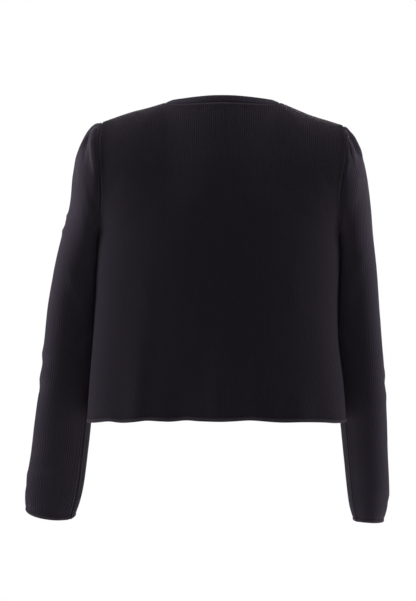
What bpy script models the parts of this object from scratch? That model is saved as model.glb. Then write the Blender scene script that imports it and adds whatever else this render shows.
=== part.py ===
"""Cropped knitted cardigan with gathered sleeve heads, filled out as when worn.

The garment's front faces -Y and the wearer's left is +X. The origin lies midway between the two
points where the shoulder seams meet the neckband, where the wearer's shoulders hold the garment.
Every cloth piece is a wall lofted through sections worked out from the sizes below, 0.3 mm clear
of its neighbours.
"""

import math
from typing import NamedTuple

import bmesh
import bpy
from mathutils import Matrix, Vector

MM = 0.001
DEGREE = math.pi / 180

# Cloth
WALL = 2.0 * MM
SEAM_GAP = 0.3 * MM

# Heights of the body's landmarks
SHOULDER_TIP_Z = -29 * MM
ARMPIT_Z = -197 * MM
SIDE_HEM_Z = -483.5 * MM
BACK_HEM_RISE = 6 * MM
FRONT_HEM_DROP = 2 * MM
HEM_WAVE = 0.9 * MM
HEM_WAVE_LENGTH = 88 * MM

# Centre line and neck
CENTRE_HEM_X = 4.5 * MM
NECK_HALF_WIDTH = 87.5 * MM
BACK_NECK_DROP = 1.5 * MM
BACK_NECK_DIP = 1.5 * MM
FRONT_NECK_DROP = 84 * MM
FRONT_NECK_POWER = 0.6
NECKBAND_WIDTH = 11.5 * MM
NECKBAND_LEAN_CENTRE = 16 * DEGREE
NECKBAND_LEAN_SIDE = 52 * DEGREE

# How the back and the chest round over into the shoulders and the neck
SHOULDER_ROUNDING = 167 * MM
SHOULDER_POWER = 2.6
NECK_ROUNDING = 200 * MM
NECK_POWER = 2.0
NECK_SPREAD = 90 * MM
NECK_BASE_SLOPE = 0.35
BACK_NECK_SWELL = 45 * MM
SECTION_POWER = 2.5

# Armholes, seen from the side
ARMHOLE_BACK_DEPTH = 60 * MM
ARMHOLE_FRONT_DEPTH = 58 * MM

# Front bands and buttons
BAND_WIDTH = 25 * MM
BAND_LIFT = WALL + SEAM_GAP
BAND_LIFT_FADE = 45 * MM
BUTTON_COUNT = 7
BUTTON_RADIUS = 5.5 * MM
BUTTON_THICKNESS = 2.4 * MM
BUTTON_EDGE = 0.6 * MM
BUTTON_DISH = 0.5 * MM
BUTTON_DISH_RADIUS = 3.6 * MM
BUTTON_SIDES = 16
TOP_BUTTON_DROP = 16 * MM
LOWEST_BUTTON_RISE = 18 * MM

# How finely the walls are divided
NECK_STEPS = 8
SHOULDER_STEPS = 7
ROUNDING_ROWS = 10
SIDE_ROWS = 12
SLEEVE_SIDES = 40
SLEEVE_CAP_ROWS = 5
ARMHOLE_FADE_ROWS = 2
TOP_CROWDING = 0.45
SLOPE_STEP = 0.01
SHARP_ANGLE = 50 * DEGREE
MERGE_DISTANCE = 0.01 * MM

# How a gather rises and dies away along its length
GATHER_DEGREES_PER_ROW = 11.0
GATHER_RISE_START = -0.15
GATHER_RISE_LENGTH = 0.3
GATHER_FALL_START = 0.45
GATHER_FALL_LENGTH = 0.7

LEFT = 1
RIGHT = -1
BACK = 1
FRONT = -1


class BodySection(NamedTuple):
    """The body at one height of its side edge: half widths, depths and the side edge's own y."""

    z: float
    left: float
    right: float
    back: float
    front: float
    side_y: float


BODY_SECTIONS = [
    BodySection(-29, 182.5, 182.5, 98, 104, 0),
    BodySection(-60, 186.5, 186.5, 98, 105, 0),
    BodySection(-90, 185.5, 184.5, 99, 106, 1),
    BodySection(-125, 182.5, 178, 100, 108, 2),
    BodySection(-155, 182.5, 175.5, 101, 110, 4),
    BodySection(-197, 186.5, 177, 100, 113, 6),
    BodySection(-250, 189.5, 176, 97, 114, 8),
    BodySection(-310, 191.5, 173.5, 94, 114, 8),
    BodySection(-360, 195.5, 174.5, 92, 113, 8),
    BodySection(-410, 199.5, 180.5, 92, 112, 8),
    BodySection(-450, 202.5, 184.5, 94, 113, 8),
    BodySection(-483.5, 204, 186.5, 97, 115, 8),
]


class ShoulderPoint(NamedTuple):
    """The shoulder seam's drop, at a share of its length from the neck to the tip."""

    share: float
    left: float
    right: float


SHOULDER_LINE = [
    ShoulderPoint(0.00, 0, 0),
    ShoulderPoint(0.25, 6.5, 9),
    ShoulderPoint(0.50, 13, 18.5),
    ShoulderPoint(0.75, 21, 26.5),
    ShoulderPoint(1.00, 29.5, 34.5),
]


class SleeveRow(NamedTuple):
    """One ring of a sleeve, between its outer and its inner point.

    slant turns the outer side backward, and pitch lowers the ring's back below its middle.
    """

    outer_x: float
    outer_z: float
    inner_x: float
    inner_z: float
    half_depth: float
    centre_y: float
    slant: float
    pitch: float


LEFT_SLEEVE = [
    SleeveRow(182.8, -29.5, 186.8, -197, 59, 3, 0.0, 0),
    SleeveRow(195.5, -34, 188.5, -200, 62, 2, 0.0, 0),
    SleeveRow(208.5, -49, 188.2, -204, 64, 0, 0.0, 0),
    SleeveRow(220.5, -75, 188, -211, 65, -4, 0.1, 0),
    SleeveRow(227.5, -109, 188, -222, 64, -9, 0.2, 0),
    SleeveRow(232.5, -155, 188, -238, 61, -14, 0.3, 0),
    SleeveRow(243, -200, 188.5, -262, 57, -19, 0.4, 0),
    SleeveRow(255, -248, 190, -291, 53, -24, 0.5, 0),
    SleeveRow(265.5, -305, 191.5, -331, 49, -31, 0.55, 0),
    SleeveRow(272, -362, 193.5, -382, 45, -37, 0.55, 1),
    SleeveRow(278, -430, 198.5, -436, 42, -43, 0.5, 2),
    SleeveRow(286, -484, 202.5, -488, 38, -47, 0.4, 2),
    SleeveRow(293, -530, 207.5, -535, 33, -50, 0.3, 3),
    SleeveRow(301, -577, 213, -579, 28, -52, 0.25, 5),
    SleeveRow(303, -603, 219, -607, 27, -53, 0.2, 7),
    SleeveRow(301.5, -621, 227.5, -631.5, 27, -54, 0.2, 8),
]

RIGHT_SLEEVE = [
    SleeveRow(182.8, -34.5, 177.3, -197, 59, 3, 0.0, 0),
    SleeveRow(190.5, -41, 179.2, -200, 62, 2, 0.0, 0),
    SleeveRow(200.5, -55, 178.5, -204, 64, 0, 0.0, 0),
    SleeveRow(211.5, -78, 178, -211, 65, -4, 0.1, 0),
    SleeveRow(219.5, -111, 177.5, -222, 64, -9, 0.2, 0),
    SleeveRow(225.5, -155, 176.5, -238, 62, -14, 0.3, 0),
    SleeveRow(229.5, -203, 175, -262, 59, -20, 0.4, 0),
    SleeveRow(235, -253, 173.5, -291, 57, -26, 0.5, 0),
    SleeveRow(239.5, -311, 171.5, -331, 55, -34, 0.55, 0),
    SleeveRow(244.5, -372, 172.5, -378, 52, -41, 0.55, 0),
    SleeveRow(249.5, -430, 176.5, -434, 50, -48, 0.5, 0),
    SleeveRow(252.5, -484, 182.5, -487, 48, -53, 0.4, 0),
    SleeveRow(254.5, -535, 187.5, -537, 45, -57, 0.3, 0),
    SleeveRow(257, -585, 192.5, -586, 42, -60, 0.2, 0),
    SleeveRow(255, -615, 196.5, -616, 40, -62, 0.1, 0),
    SleeveRow(247.5, -640, 203.5, -638, 38, -63, 0.1, 0),
]


class Fold(NamedTuple):
    """A soft fold of a body panel that rises from the hem."""

    foot_x: float
    head_x: float
    length: float
    height: float
    half_width: float


BACK_FOLDS = [
    Fold(132.5, 116.5, 230, 5.0, 17),
    Fold(66.5, 64.5, 90, -2.5, 20),
    Fold(7.5, 1.5, 190, 4.5, 19),
    Fold(-53.5, -47.5, 110, -2.5, 20),
    Fold(-118.5, -113.5, 90, 4.0, 17),
]

FRONT_FOLDS = [
    Fold(136.5, 124.5, 190, 4.5, 18),
    Fold(76.5, 70.5, 120, 3.0, 17),
    Fold(-65.5, -57.5, 150, 3.5, 18),
    Fold(-125.5, -117.5, 110, 4.0, 17),
]


class Gather(NamedTuple):
    """A gather at the sleeve head: it runs from one ring angle and section to another."""

    start_angle: float
    start_row: float
    end_angle: float
    end_row: float
    height: float
    half_width: float


LEFT_GATHERS = [
    Gather(26, 0.9, 98, 0.9, 3.2, 5),
    Gather(30, 1.9, 84, 1.8, -1.6, 5),
    Gather(14, 0.4, 28, 3.4, 3.0, 6),
    Gather(-6, 0.4, -8, 3.0, 2.6, 6),
    Gather(-24, 0.4, -36, 3.3, 3.0, 6),
    Gather(-44, 0.6, -76, 2.0, 3.0, 6),
]

RIGHT_GATHERS = [
    Gather(46, 0.4, 92, 1.1, 2.4, 5),
    Gather(30, 0.3, 56, 2.2, 3.2, 5),
    Gather(12, 0.4, 20, 3.4, 3.0, 6),
    Gather(-8, 0.4, -11, 3.0, 2.6, 6),
    Gather(-27, 0.4, -40, 3.3, 3.0, 6),
    Gather(-47, 0.6, -80, 2.0, 3.0, 6),
]

CLOTH_COLOUR = (0.012, 0.011, 0.013, 1.0)
CLOTH_ROUGHNESS = 0.9
BUTTON_COLOUR = (0.01, 0.01, 0.011, 1.0)
BUTTON_ROUGHNESS = 0.35


# Smooth reading of the tables

def read_curve(keys, values, key):
    """Read a smooth curve through the given values at the given keys, which may rise or fall."""
    if keys[0] > keys[-1]:
        keys = [-entry for entry in keys]
        key = -key
    key = min(max(key, keys[0]), keys[-1])
    last = len(keys) - 2
    place = min(max(sum(1 for entry in keys if entry <= key) - 1, 0), last)
    span = keys[place + 1] - keys[place]
    share = (key - keys[place]) / span

    def slope(index):
        before = max(index - 1, 0)
        after = min(index + 1, len(keys) - 1)
        return (values[after] - values[before]) / (keys[after] - keys[before])

    start, end = values[place], values[place + 1]
    start_slope, end_slope = slope(place) * span, slope(place + 1) * span
    cubed, squared = share ** 3, share ** 2
    return (
        (2 * cubed - 3 * squared + 1) * start
        + (cubed - 2 * squared + share) * start_slope
        + (3 * squared - 2 * cubed) * end
        + (cubed - squared) * end_slope
    )


def read_table(rows, key_column, value_column, key):
    """Read one column of a table in millimetres at a key in millimetres, and return metres."""
    keys = [getattr(row, key_column) for row in rows]
    values = [getattr(row, value_column) for row in rows]
    return read_curve(keys, values, key) * MM


def ease(share):
    """Rise smoothly from 0 to 1."""
    share = min(max(share, 0.0), 1.0)
    return share * share * (3 - 2 * share)


# The body's outer surface

def side_column(side):
    """Name the table column of one side of the garment."""
    return "left" if side == LEFT else "right"


def body_value(column, z):
    """Read the body's sections at a height of the side edge."""
    return read_table(BODY_SECTIONS, "z", column, z / MM)


def centre_x(z):
    """Return the x of the centre line, which leans a little as the garment hangs."""
    share = min(max((SHOULDER_TIP_Z - z) / (SHOULDER_TIP_Z - SIDE_HEM_Z), 0.0), 1.0)
    return CENTRE_HEM_X * share


def half_width(z, side):
    """Return the distance from the centre line to one side edge."""
    return body_value(side_column(side), z) + (-side) * centre_x(z)


def shoulder_tip_z(side):
    """Return the height of one shoulder tip."""
    return -read_table(SHOULDER_LINE, "share", side_column(side), 1.0)


def armhole_depth(z, side, face):
    """Return how far the armhole's edge lies behind or before the side line at a height."""
    top = shoulder_tip_z(side)
    middle, half_height = (top + ARMPIT_Z) / 2, (top - ARMPIT_Z) / 2
    level = min(max((z - middle) / half_height, -1.0), 1.0)
    depth = ARMHOLE_BACK_DEPTH if face == BACK else ARMHOLE_FRONT_DEPTH
    return depth * math.sqrt(1 - level * level)


def neck_share(side):
    """Return the share of the half width at which the shoulder seam meets the neckband."""
    return NECK_HALF_WIDTH / half_width(SHOULDER_TIP_Z, side)


def shoulder_drop(share, side):
    """Return how far the shoulder seam has dropped at a share of the half width."""
    along = (share - neck_share(side)) / (1 - neck_share(side))
    return read_table(SHOULDER_LINE, "share", side_column(side), along)


def top_edge_z(across, face):
    """Return the height of a panel's top edge: the shoulder seam or the neckline."""
    side = LEFT if across >= 0 else RIGHT
    share = abs(across)
    if share >= neck_share(side):
        return -shoulder_drop(share, side)
    squared = 1 - (share / neck_share(side)) ** 2
    if face == FRONT:
        return -FRONT_NECK_DROP * squared ** FRONT_NECK_POWER
    dip = 4 * BACK_NECK_DIP * squared * (1 - squared)
    return -BACK_NECK_DROP * math.sqrt(squared) - dip


def ridge_z(x, side, face):
    """Return the height of the form's top, which swells towards the neck inside the neckline."""
    share = abs(x) / half_width(SHOULDER_TIP_Z, side)
    if share >= neck_share(side):
        return -shoulder_drop(min(share, 1.0), side)
    inside = 1 - (share / neck_share(side)) ** 2
    swell = BACK_NECK_SWELL if face == BACK else 0.0
    return NECK_BASE_SLOPE * NECK_HALF_WIDTH * inside / 2 + swell * inside ** 2


def shoulder_curve(drop):
    """Return the share of the full depth that the form has at a drop below its top."""
    reach = min(max(drop / SHOULDER_ROUNDING, 0.0), 1.0)
    return math.sqrt(1 - (1 - reach) ** SHOULDER_POWER)


def neck_curve(drop):
    """Return the same share under the neck, where the form slopes instead of rounding over."""
    reach = min(max(drop / NECK_ROUNDING, 0.0), 1.0)
    return 1 - (1 - reach) ** NECK_POWER


def form_y(x, z, face):
    """Return the y of the body's form at a place seen from behind."""
    offset = x - centre_x(z)
    side = LEFT if offset >= 0 else RIGHT
    depth = body_value("back" if face == BACK else "front", z)
    drop = ridge_z(x, side, face) - z
    neck_part = math.exp(-(offset / NECK_SPREAD) ** 2)
    curve = neck_part * neck_curve(drop) + (1 - neck_part) * shoulder_curve(drop)
    edge_share = 1.0
    if z > ARMPIT_Z:
        tip_z = shoulder_tip_z(side)
        edge_z = min(z, tip_z - MERGE_DISTANCE)
        edge = armhole_depth(edge_z, side, face) / shoulder_curve(tip_z - edge_z) / depth
        edge_share = (1 - edge ** SECTION_POWER) ** (1 / SECTION_POWER)
    share = min(abs(offset) / half_width(z, side), 1.0) * edge_share
    section = (1 - share ** SECTION_POWER) ** (1 / SECTION_POWER)
    return body_value("side_y", z) + face * (depth * section * curve + SEAM_GAP / 2)


def hem_height(x, across, face):
    """Return the height of the gently waved hem."""
    wave = HEM_WAVE * math.cos(2 * math.pi * x / HEM_WAVE_LENGTH)
    if face == BACK:
        return SIDE_HEM_Z + BACK_HEM_RISE * (1 - across ** 2) - wave * (1 - across ** 4)
    return SIDE_HEM_Z - FRONT_HEM_DROP * (1 - across ** 2) - wave * (1 - across ** 4)


def fold_height(x, rise, face):
    """Add up the soft folds of a panel at a place and at a height above the hem."""
    total = 0.0
    for fold in BACK_FOLDS if face == BACK else FRONT_FOLDS:
        share = rise / (fold.length * MM)
        middle = (fold.foot_x + (fold.head_x - fold.foot_x) * share) * MM
        fade = 1 - ease(share)
        offset = (x - middle) / (fold.half_width * MM)
        total += fold.height * MM * fade * math.exp(-offset * offset)
    return total


def side_edge_z(down, side):
    """Return the height of the side edge that far down."""
    return shoulder_tip_z(side) + down * (SIDE_HEM_Z - shoulder_tip_z(side))


def body_point(across, down, face):
    """Return a point of the body's outer surface.

    across runs from -1 at the right side edge to 1 at the left one, and down from 0 at the top
    edge to 1 at the hem.
    """
    side = LEFT if across >= 0 else RIGHT
    edge_z = side_edge_z(down, side)
    x = centre_x(edge_z) + across * half_width(edge_z, side)
    top_z = top_edge_z(across, face)
    hem_z = hem_height(x, across, face)
    z = top_z + down * (hem_z - top_z)
    y = form_y(x, z, face) + face * fold_height(x, z - hem_z, face) * (1 - across ** 4)
    return Vector((x, y, z))


def front_lift(offset):
    """Return how far the wearer's right front stands out beside the band that laps over."""
    return BAND_LIFT * (1 - ease((abs(offset) - BAND_WIDTH / 2) / BAND_LIFT_FADE))


# Walls

def make_material(name, colour, roughness):
    """Make a plain material."""
    material = bpy.data.materials.new(name)
    material.use_nodes = True
    shader = material.node_tree.nodes["Principled BSDF"]
    shader.inputs["Base Color"].default_value = colour
    shader.inputs["Roughness"].default_value = roughness
    return material


def add_object(name, bm, material, collection):
    """Turn a bmesh into a smooth-shaded object of the collection."""
    bmesh.ops.recalc_face_normals(bm, faces=bm.faces)
    mesh = bpy.data.meshes.new(name)
    bm.to_mesh(mesh)
    bm.free()
    mesh.shade_smooth()
    mesh.set_sharp_from_angle(angle=SHARP_ANGLE)
    mesh.materials.append(material)
    piece = bpy.data.objects.new(name, mesh)
    collection.objects.link(piece)
    return piece


def grid_faces(bm, rows, closed, flipped):
    """Cover a grid of vertices with faces."""
    columns = len(rows[0])
    for upper, lower in zip(rows, rows[1:]):
        for column in range(columns if closed else columns - 1):
            following = (column + 1) % columns
            corners = [upper[column], lower[column], lower[following], upper[following]]
            bm.faces.new(corners[::-1] if flipped else corners)


def outline_of(rows, closed):
    """List the loops of vertices along the open edges of a grid."""
    if closed:
        return [rows[0], rows[-1]]
    left = [row[0] for row in rows]
    right = [row[-1] for row in rows]
    return [rows[0][:-1] + right[:-1] + rows[-1][:0:-1] + left[:0:-1]]


def make_wall(name, points, outward, limits, material, collection, closed=False):
    """Close a grid of outer points into a wall.

    outward tells, for a point, a rough way out. limits maps a row and column of an edge to the
    ways that the inner point may not lean, so that a wall stays on its own side of a seam.
    """
    bm = bmesh.new()
    rows = [[bm.verts.new(point) for point in row] for row in points]
    grid_faces(bm, rows, closed, False)
    bm.normal_update()
    middle = rows[len(rows) // 2][len(rows[0]) // 2]
    sign = 1 if middle.normal.dot(outward(middle.co)) > 0 else -1
    inner = []
    for row_index, row in enumerate(rows):
        inner_row = []
        for column_index, vertex in enumerate(row):
            normal = vertex.normal * sign
            for limit in limits.get((row_index, column_index), []):
                lean = normal.dot(limit)
                if lean < 0:
                    normal = (normal - limit * lean).normalized()
            inner_row.append(bm.verts.new(vertex.co - normal * WALL))
        inner.append(inner_row)
    grid_faces(bm, inner, closed, True)
    for outer_loop, inner_loop in zip(outline_of(rows, closed), outline_of(inner, closed)):
        count = len(outer_loop)
        for index in range(count):
            following = (index + 1) % count
            bm.faces.new([outer_loop[index], outer_loop[following],
                          inner_loop[following], inner_loop[index]])
    return add_object(name, bm, material, collection)


def from_axis(point):
    """Point from the body's upright axis to a place."""
    return Vector((point.x, point.y, 0.0))


# Panels of the body

def body_rows():
    """List how far down each row of a body panel lies."""
    length = SHOULDER_TIP_Z - SIDE_HEM_Z
    armpit = SHOULDER_TIP_Z - ARMPIT_Z
    drops = []
    for index in range(ROUNDING_ROWS + 1):
        drops.append(armpit * (1 - math.cos(math.pi / 2 * index / ROUNDING_ROWS)))
    for index in range(1, SIDE_ROWS + 1):
        drops.append(armpit + (length - armpit) * index / SIDE_ROWS)
    return [drop / length for drop in drops]


def shoulder_columns():
    """List the columns between the neck and the side edge, closer together near the edge."""
    start = neck_share(LEFT)
    shares = []
    for index in range(1, SHOULDER_STEPS + 1):
        shares.append(start + (1 - start) * math.sin(math.pi / 2 * index / SHOULDER_STEPS))
    return shares


def neck_columns(first_angle):
    """List the columns under the neck from an angle of the neckline to the shoulder seam."""
    shares = []
    for index in range(NECK_STEPS + 1):
        angle = first_angle + (math.pi / 2 - first_angle) * index / NECK_STEPS
        shares.append(neck_share(LEFT) * math.sin(angle))
    return shares


def seam_limits(points, face, columns):
    """Keep the walls on their own side of the shoulder, side and armhole seams."""
    towards_other = Vector((0, -face, 0))
    limits = {}
    last = len(points) - 1
    for column in columns:
        side = LEFT if points[last][column].x > 0 else RIGHT
        for row in range(len(points)):
            along = points[min(row + 1, last)][column] - points[max(row - 1, 0)][column]
            along.normalize()
            across = Vector((side, 0, 0))
            across = (across - along * across.dot(along)).normalized()
            limits[(row, column)] = [across, towards_other]
    return limits


def shoulder_limits(limits, top_row, face):
    """Add the shoulder seam's limit along the top edge outside the neck."""
    towards_other = Vector((0, -face, 0))
    for column, point in enumerate(top_row):
        if abs(point.y) < SEAM_GAP:
            limits.setdefault((0, column), []).append(towards_other)


def add_back(material, collection):
    """Make the back."""
    half = neck_columns(0.0) + shoulder_columns()
    columns = half[::-1] + [-share for share in half[1:]]
    points = [[body_point(across, down, BACK) for across in columns] for down in body_rows()]
    limits = seam_limits(points, BACK, [0, len(columns) - 1])
    shoulder_limits(limits, points[0], BACK)
    return make_wall("back", points, from_axis, limits, material, collection)


def front_offset_point(offset, down):
    """Return a point of the front surface at a distance from the centre front line."""
    side = LEFT if offset >= 0 else RIGHT
    return body_point(offset / half_width(side_edge_z(down, side), side), down, FRONT)


def add_front(name, side, material, collection):
    """Make one front, from its band to its side seam."""
    band_edge = BAND_WIDTH / 2 + SEAM_GAP
    first_angle = math.asin(band_edge / NECK_HALF_WIDTH)
    shares = neck_columns(first_angle) + shoulder_columns()
    points = []
    for down in body_rows():
        first = front_offset_point(side * band_edge, down)
        row = [first]
        for share in shares[1:]:
            row.append(body_point(side * share, down, FRONT))
        if side == RIGHT:
            middle_x = body_point(0.0, down, FRONT).x
            for point in row:
                point.y -= front_lift(point.x - middle_x)
        points.append(row)
    limits = seam_limits(points, FRONT, [len(shares) - 1])
    shoulder_limits(limits, points[0], FRONT)
    for row in range(len(points)):
        limits.setdefault((row, 0), []).append(Vector((-side, 0, 0)))
    return make_wall(name, points, from_axis, limits, material, collection)


# Neckband and front bands

def neckline(angle):
    """Return a point of the neckline; angle is 0 at the centre back and pi at the centre front."""
    face = BACK if math.cos(angle) >= 0 else FRONT
    return body_point(neck_share(LEFT) * math.sin(angle), 0.0, face)


def neckband_point(angle, rise):
    """Return a point of the neckband at a distance above the neckline."""
    along = (neckline(angle + SLOPE_STEP) - neckline(angle - SLOPE_STEP)).normalized()
    base = neckline(angle)
    inward = Vector((-base.x, -base.y, 0)).normalized()
    side_share = math.sin(angle) ** 2
    lean = NECKBAND_LEAN_CENTRE + (NECKBAND_LEAN_SIDE - NECKBAND_LEAN_CENTRE) * side_share
    way = Vector((0, 0, math.cos(lean))) + inward * math.sin(lean)
    way = (way - along * way.dot(along)).normalized()
    return base + way * rise


def neckband_rises():
    """List the rows of the neckband above the neckline."""
    return [SEAM_GAP, NECKBAND_WIDTH / 2, NECKBAND_WIDTH]


def neckband_angles():
    """List the angles of the neckband's columns, which meet the columns of the panels."""
    first_angle = math.asin((BAND_WIDTH / 2 + SEAM_GAP) / NECK_HALF_WIDTH)
    half = [math.pi / 2 * index / NECK_STEPS for index in range(NECK_STEPS + 1)]
    for index in range(1, NECK_STEPS + 1):
        half.append(math.pi / 2 + (math.pi / 2 - first_angle) * index / NECK_STEPS)
    return [-angle for angle in reversed(half[1:])] + half


def add_neckband(material, collection):
    """Make the band round the neck, open at the front between the two front bands."""
    angles = neckband_angles()
    points = []
    for rise in reversed(neckband_rises()):
        row = []
        for angle in angles:
            point = neckband_point(angle, rise)
            if point.x < 0 and point.y < 0:
                point.y -= front_lift(point.x)
            row.append(point)
        row[0].x = -BAND_WIDTH / 2 - SEAM_GAP
        row[-1].x = BAND_WIDTH / 2 + SEAM_GAP
        points.append(row)
    limits = {}
    bottom = len(points) - 1
    for column in range(len(angles)):
        limits[(bottom, column)] = [(points[bottom][column] - points[0][column]).normalized()]
    for row in range(len(points)):
        limits.setdefault((row, 0), []).append(Vector((1, 0, 0)))
        limits.setdefault((row, len(angles) - 1), []).append(Vector((-1, 0, 0)))
    return make_wall("neckband", points, from_axis, limits, material, collection)


def band_strip(lift):
    """List the outer points of a front band, from the top of the neckband to the hem."""
    offsets = [-BAND_WIDTH / 2, 0.0, BAND_WIDTH / 2]
    points = []
    for rise in reversed(neckband_rises()[1:]):
        row = []
        for offset in offsets:
            angle = math.pi - math.asin(offset / NECK_HALF_WIDTH)
            point = neckband_point(angle, rise)
            point.x = offset
            point.y -= lift
            row.append(point)
        points.append(row)
    for down in body_rows():
        row = []
        for offset in offsets:
            point = front_offset_point(offset, down)
            point.y -= lift
            row.append(point)
        points.append(row)
    return points


def add_band(name, lift, material, collection):
    """Make one front band."""
    points = band_strip(lift)
    limits = {}
    for row in range(len(points)):
        limits[(row, 0)] = [Vector((-1, 0, 0))]
        limits[(row, len(points[0]) - 1)] = [Vector((1, 0, 0))]
    return make_wall(name, points, from_axis, limits, material, collection)


def add_button(name, base, outward, material, collection):
    """Make one button, turned round its own axis, with its underside at base."""
    profile = [
        (0.0, BUTTON_THICKNESS - BUTTON_DISH),
        (BUTTON_DISH_RADIUS - BUTTON_EDGE, BUTTON_THICKNESS - BUTTON_DISH),
        (BUTTON_DISH_RADIUS, BUTTON_THICKNESS),
        (BUTTON_RADIUS - BUTTON_EDGE, BUTTON_THICKNESS),
        (BUTTON_RADIUS, BUTTON_THICKNESS - BUTTON_EDGE),
        (BUTTON_RADIUS, BUTTON_EDGE),
        (BUTTON_RADIUS - BUTTON_EDGE, 0.0),
        (0.0, 0.0),
    ]
    mesh = bpy.data.meshes.new(name)
    vertices = [(radius, 0.0, height) for radius, height in profile]
    edges = [(index, index + 1) for index in range(len(profile) - 1)]
    mesh.from_pydata(vertices, edges, [])
    mesh.materials.append(material)
    button = bpy.data.objects.new(name, mesh)
    turning = button.modifiers.new("turning", "SCREW")
    turning.axis = "Z"
    turning.angle = 2 * math.pi
    turning.steps = BUTTON_SIDES
    turning.render_steps = BUTTON_SIDES
    turning.use_merge_vertices = True
    turning.merge_threshold = MERGE_DISTANCE
    turn = outward.to_track_quat("Z", "Y").to_matrix().to_4x4()
    button.matrix_world = Matrix.Translation(base) @ turn
    collection.objects.link(button)


def add_buttons(material, collection):
    """Make the buttons, which stand just clear of the band that laps over."""
    neck_z = front_offset_point(0.0, 0.0).z
    hem_z = front_offset_point(0.0, 1.0).z
    top = neck_z + NECKBAND_WIDTH - TOP_BUTTON_DROP
    lowest = hem_z + LOWEST_BUTTON_RISE
    for index in range(BUTTON_COUNT):
        z = top + (lowest - top) * index / (BUTTON_COUNT - 1)
        down = (neck_z - z) / (neck_z - hem_z)
        above = front_offset_point(0.0, down - SLOPE_STEP)
        below = front_offset_point(0.0, down + SLOPE_STEP)
        outward = Vector((0, below.z - above.z, above.y - below.y)).normalized()
        base = front_offset_point(0.0, down) + Vector((0, -BAND_LIFT, 0)) + outward * SEAM_GAP
        add_button(f"button_{index + 1}", base, outward, material, collection)


# Sleeves

def sleeve_value(rows, column, row):
    """Read a sleeve's table at a row number, which may lie between two rows."""
    values = [getattr(entry, column) for entry in rows]
    return read_curve(list(range(len(rows))), values, row)


def gather_height(gathers, angle, row):
    """Add up the gathers at a ring angle in degrees and a row number."""
    total = 0.0
    for gather in gathers:
        run_angle = gather.end_angle - gather.start_angle
        run_row = (gather.end_row - gather.start_row) * GATHER_DEGREES_PER_ROW
        from_angle = angle - gather.start_angle
        from_row = (row - gather.start_row) * GATHER_DEGREES_PER_ROW
        length = math.hypot(run_angle, run_row)
        along = (from_angle * run_angle + from_row * run_row) / length ** 2
        aside = abs(from_angle * run_row - from_row * run_angle) / length
        rise = ease((along - GATHER_RISE_START) / GATHER_RISE_LENGTH)
        fall = 1 - ease((along - GATHER_FALL_START) / GATHER_FALL_LENGTH)
        total += gather.height * rise * fall * math.exp(-(aside / gather.half_width) ** 2)
    return total * MM


def sleeve_point(rows, gathers, side, row, angle):
    """Return a point of a sleeve; angle is 0 at its outer line and a quarter turn at its back."""
    outer = Vector((sleeve_value(rows, "outer_x", row), 0, sleeve_value(rows, "outer_z", row)))
    inner = Vector((sleeve_value(rows, "inner_x", row), 0, sleeve_value(rows, "inner_z", row)))
    half_depth = sleeve_value(rows, "half_depth", row)
    slant = sleeve_value(rows, "slant", row)
    middle, arm = (outer + inner) / 2, (outer - inner) / 2
    cosine, sine = math.cos(angle), math.sin(angle)
    point = middle + arm * cosine
    point.y = sleeve_value(rows, "centre_y", row) + half_depth * sine + slant * arm.x * cosine
    point.z -= sleeve_value(rows, "pitch", row) * sine
    point *= MM
    if row < ARMHOLE_FADE_ROWS:
        point += armhole_correction(rows, side, angle) * (1 - ease(row / ARMHOLE_FADE_ROWS))
    outward = arm.normalized() * (cosine / arm.length) + Vector((0, sine / half_depth, 0))
    degrees = math.degrees(math.remainder(angle, 2 * math.pi))
    point += outward.normalized() * gather_height(gathers, degrees, row)
    point.x *= side
    return point


def armhole_correction(rows, side, angle):
    """Return what the first ring needs so that it lies along the body's armhole edge."""
    top_z = shoulder_tip_z(side)
    share = (1 + math.cos(angle)) / 2
    seam_z = ARMPIT_Z + (top_z - ARMPIT_Z) * share
    face = BACK if math.sin(angle) >= 0 else FRONT
    seam_x = body_value(side_column(side), seam_z) + SEAM_GAP
    seam_y = body_value("side_y", seam_z) + face * armhole_depth(seam_z, side, face)
    ring_x = (rows[0].inner_x + (rows[0].outer_x - rows[0].inner_x) * share) * MM
    ring_y = (rows[0].centre_y + rows[0].half_depth * math.sin(angle)) * MM
    return Vector((seam_x - ring_x, seam_y - ring_y, 0))


def sleeve_angles():
    """List the ring angles, closer together at the outer line where the gathers are."""
    angles = []
    for index in range(SLEEVE_SIDES):
        even = 2 * math.pi * index / SLEEVE_SIDES
        angles.append(even - TOP_CROWDING * math.sin(even))
    return angles


def add_sleeve(name, side, rows, gathers, material, collection):
    """Make one sleeve from its armhole to its cuff."""
    ring_rows = [index / 2 for index in range(2 * SLEEVE_CAP_ROWS)]
    ring_rows += list(range(SLEEVE_CAP_ROWS, len(rows)))
    points = []
    for row in ring_rows:
        points.append([sleeve_point(rows, gathers, side, row, angle)
                       for angle in sleeve_angles()])
    limits = {}
    sides = len(points[0])
    for column in range(sides):
        along = (points[0][(column + 1) % sides] - points[0][column - 1]).normalized()
        across = Vector((-side, 0, 0))
        across = (across - along * across.dot(along)).normalized()
        limits[(0, column)] = [across]

    def from_sleeve_axis(point):
        nearest = min(points, key=lambda ring: abs(sum(p.z for p in ring) / sides - point.z))
        middle = sum(nearest, Vector()) / sides
        return point - middle

    return make_wall(name, points, from_sleeve_axis, limits, material, collection, closed=True)


def clear_scene():
    """Remove whatever the scene holds."""
    for item in list(bpy.data.objects):
        bpy.data.objects.remove(item, do_unlink=True)


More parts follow.
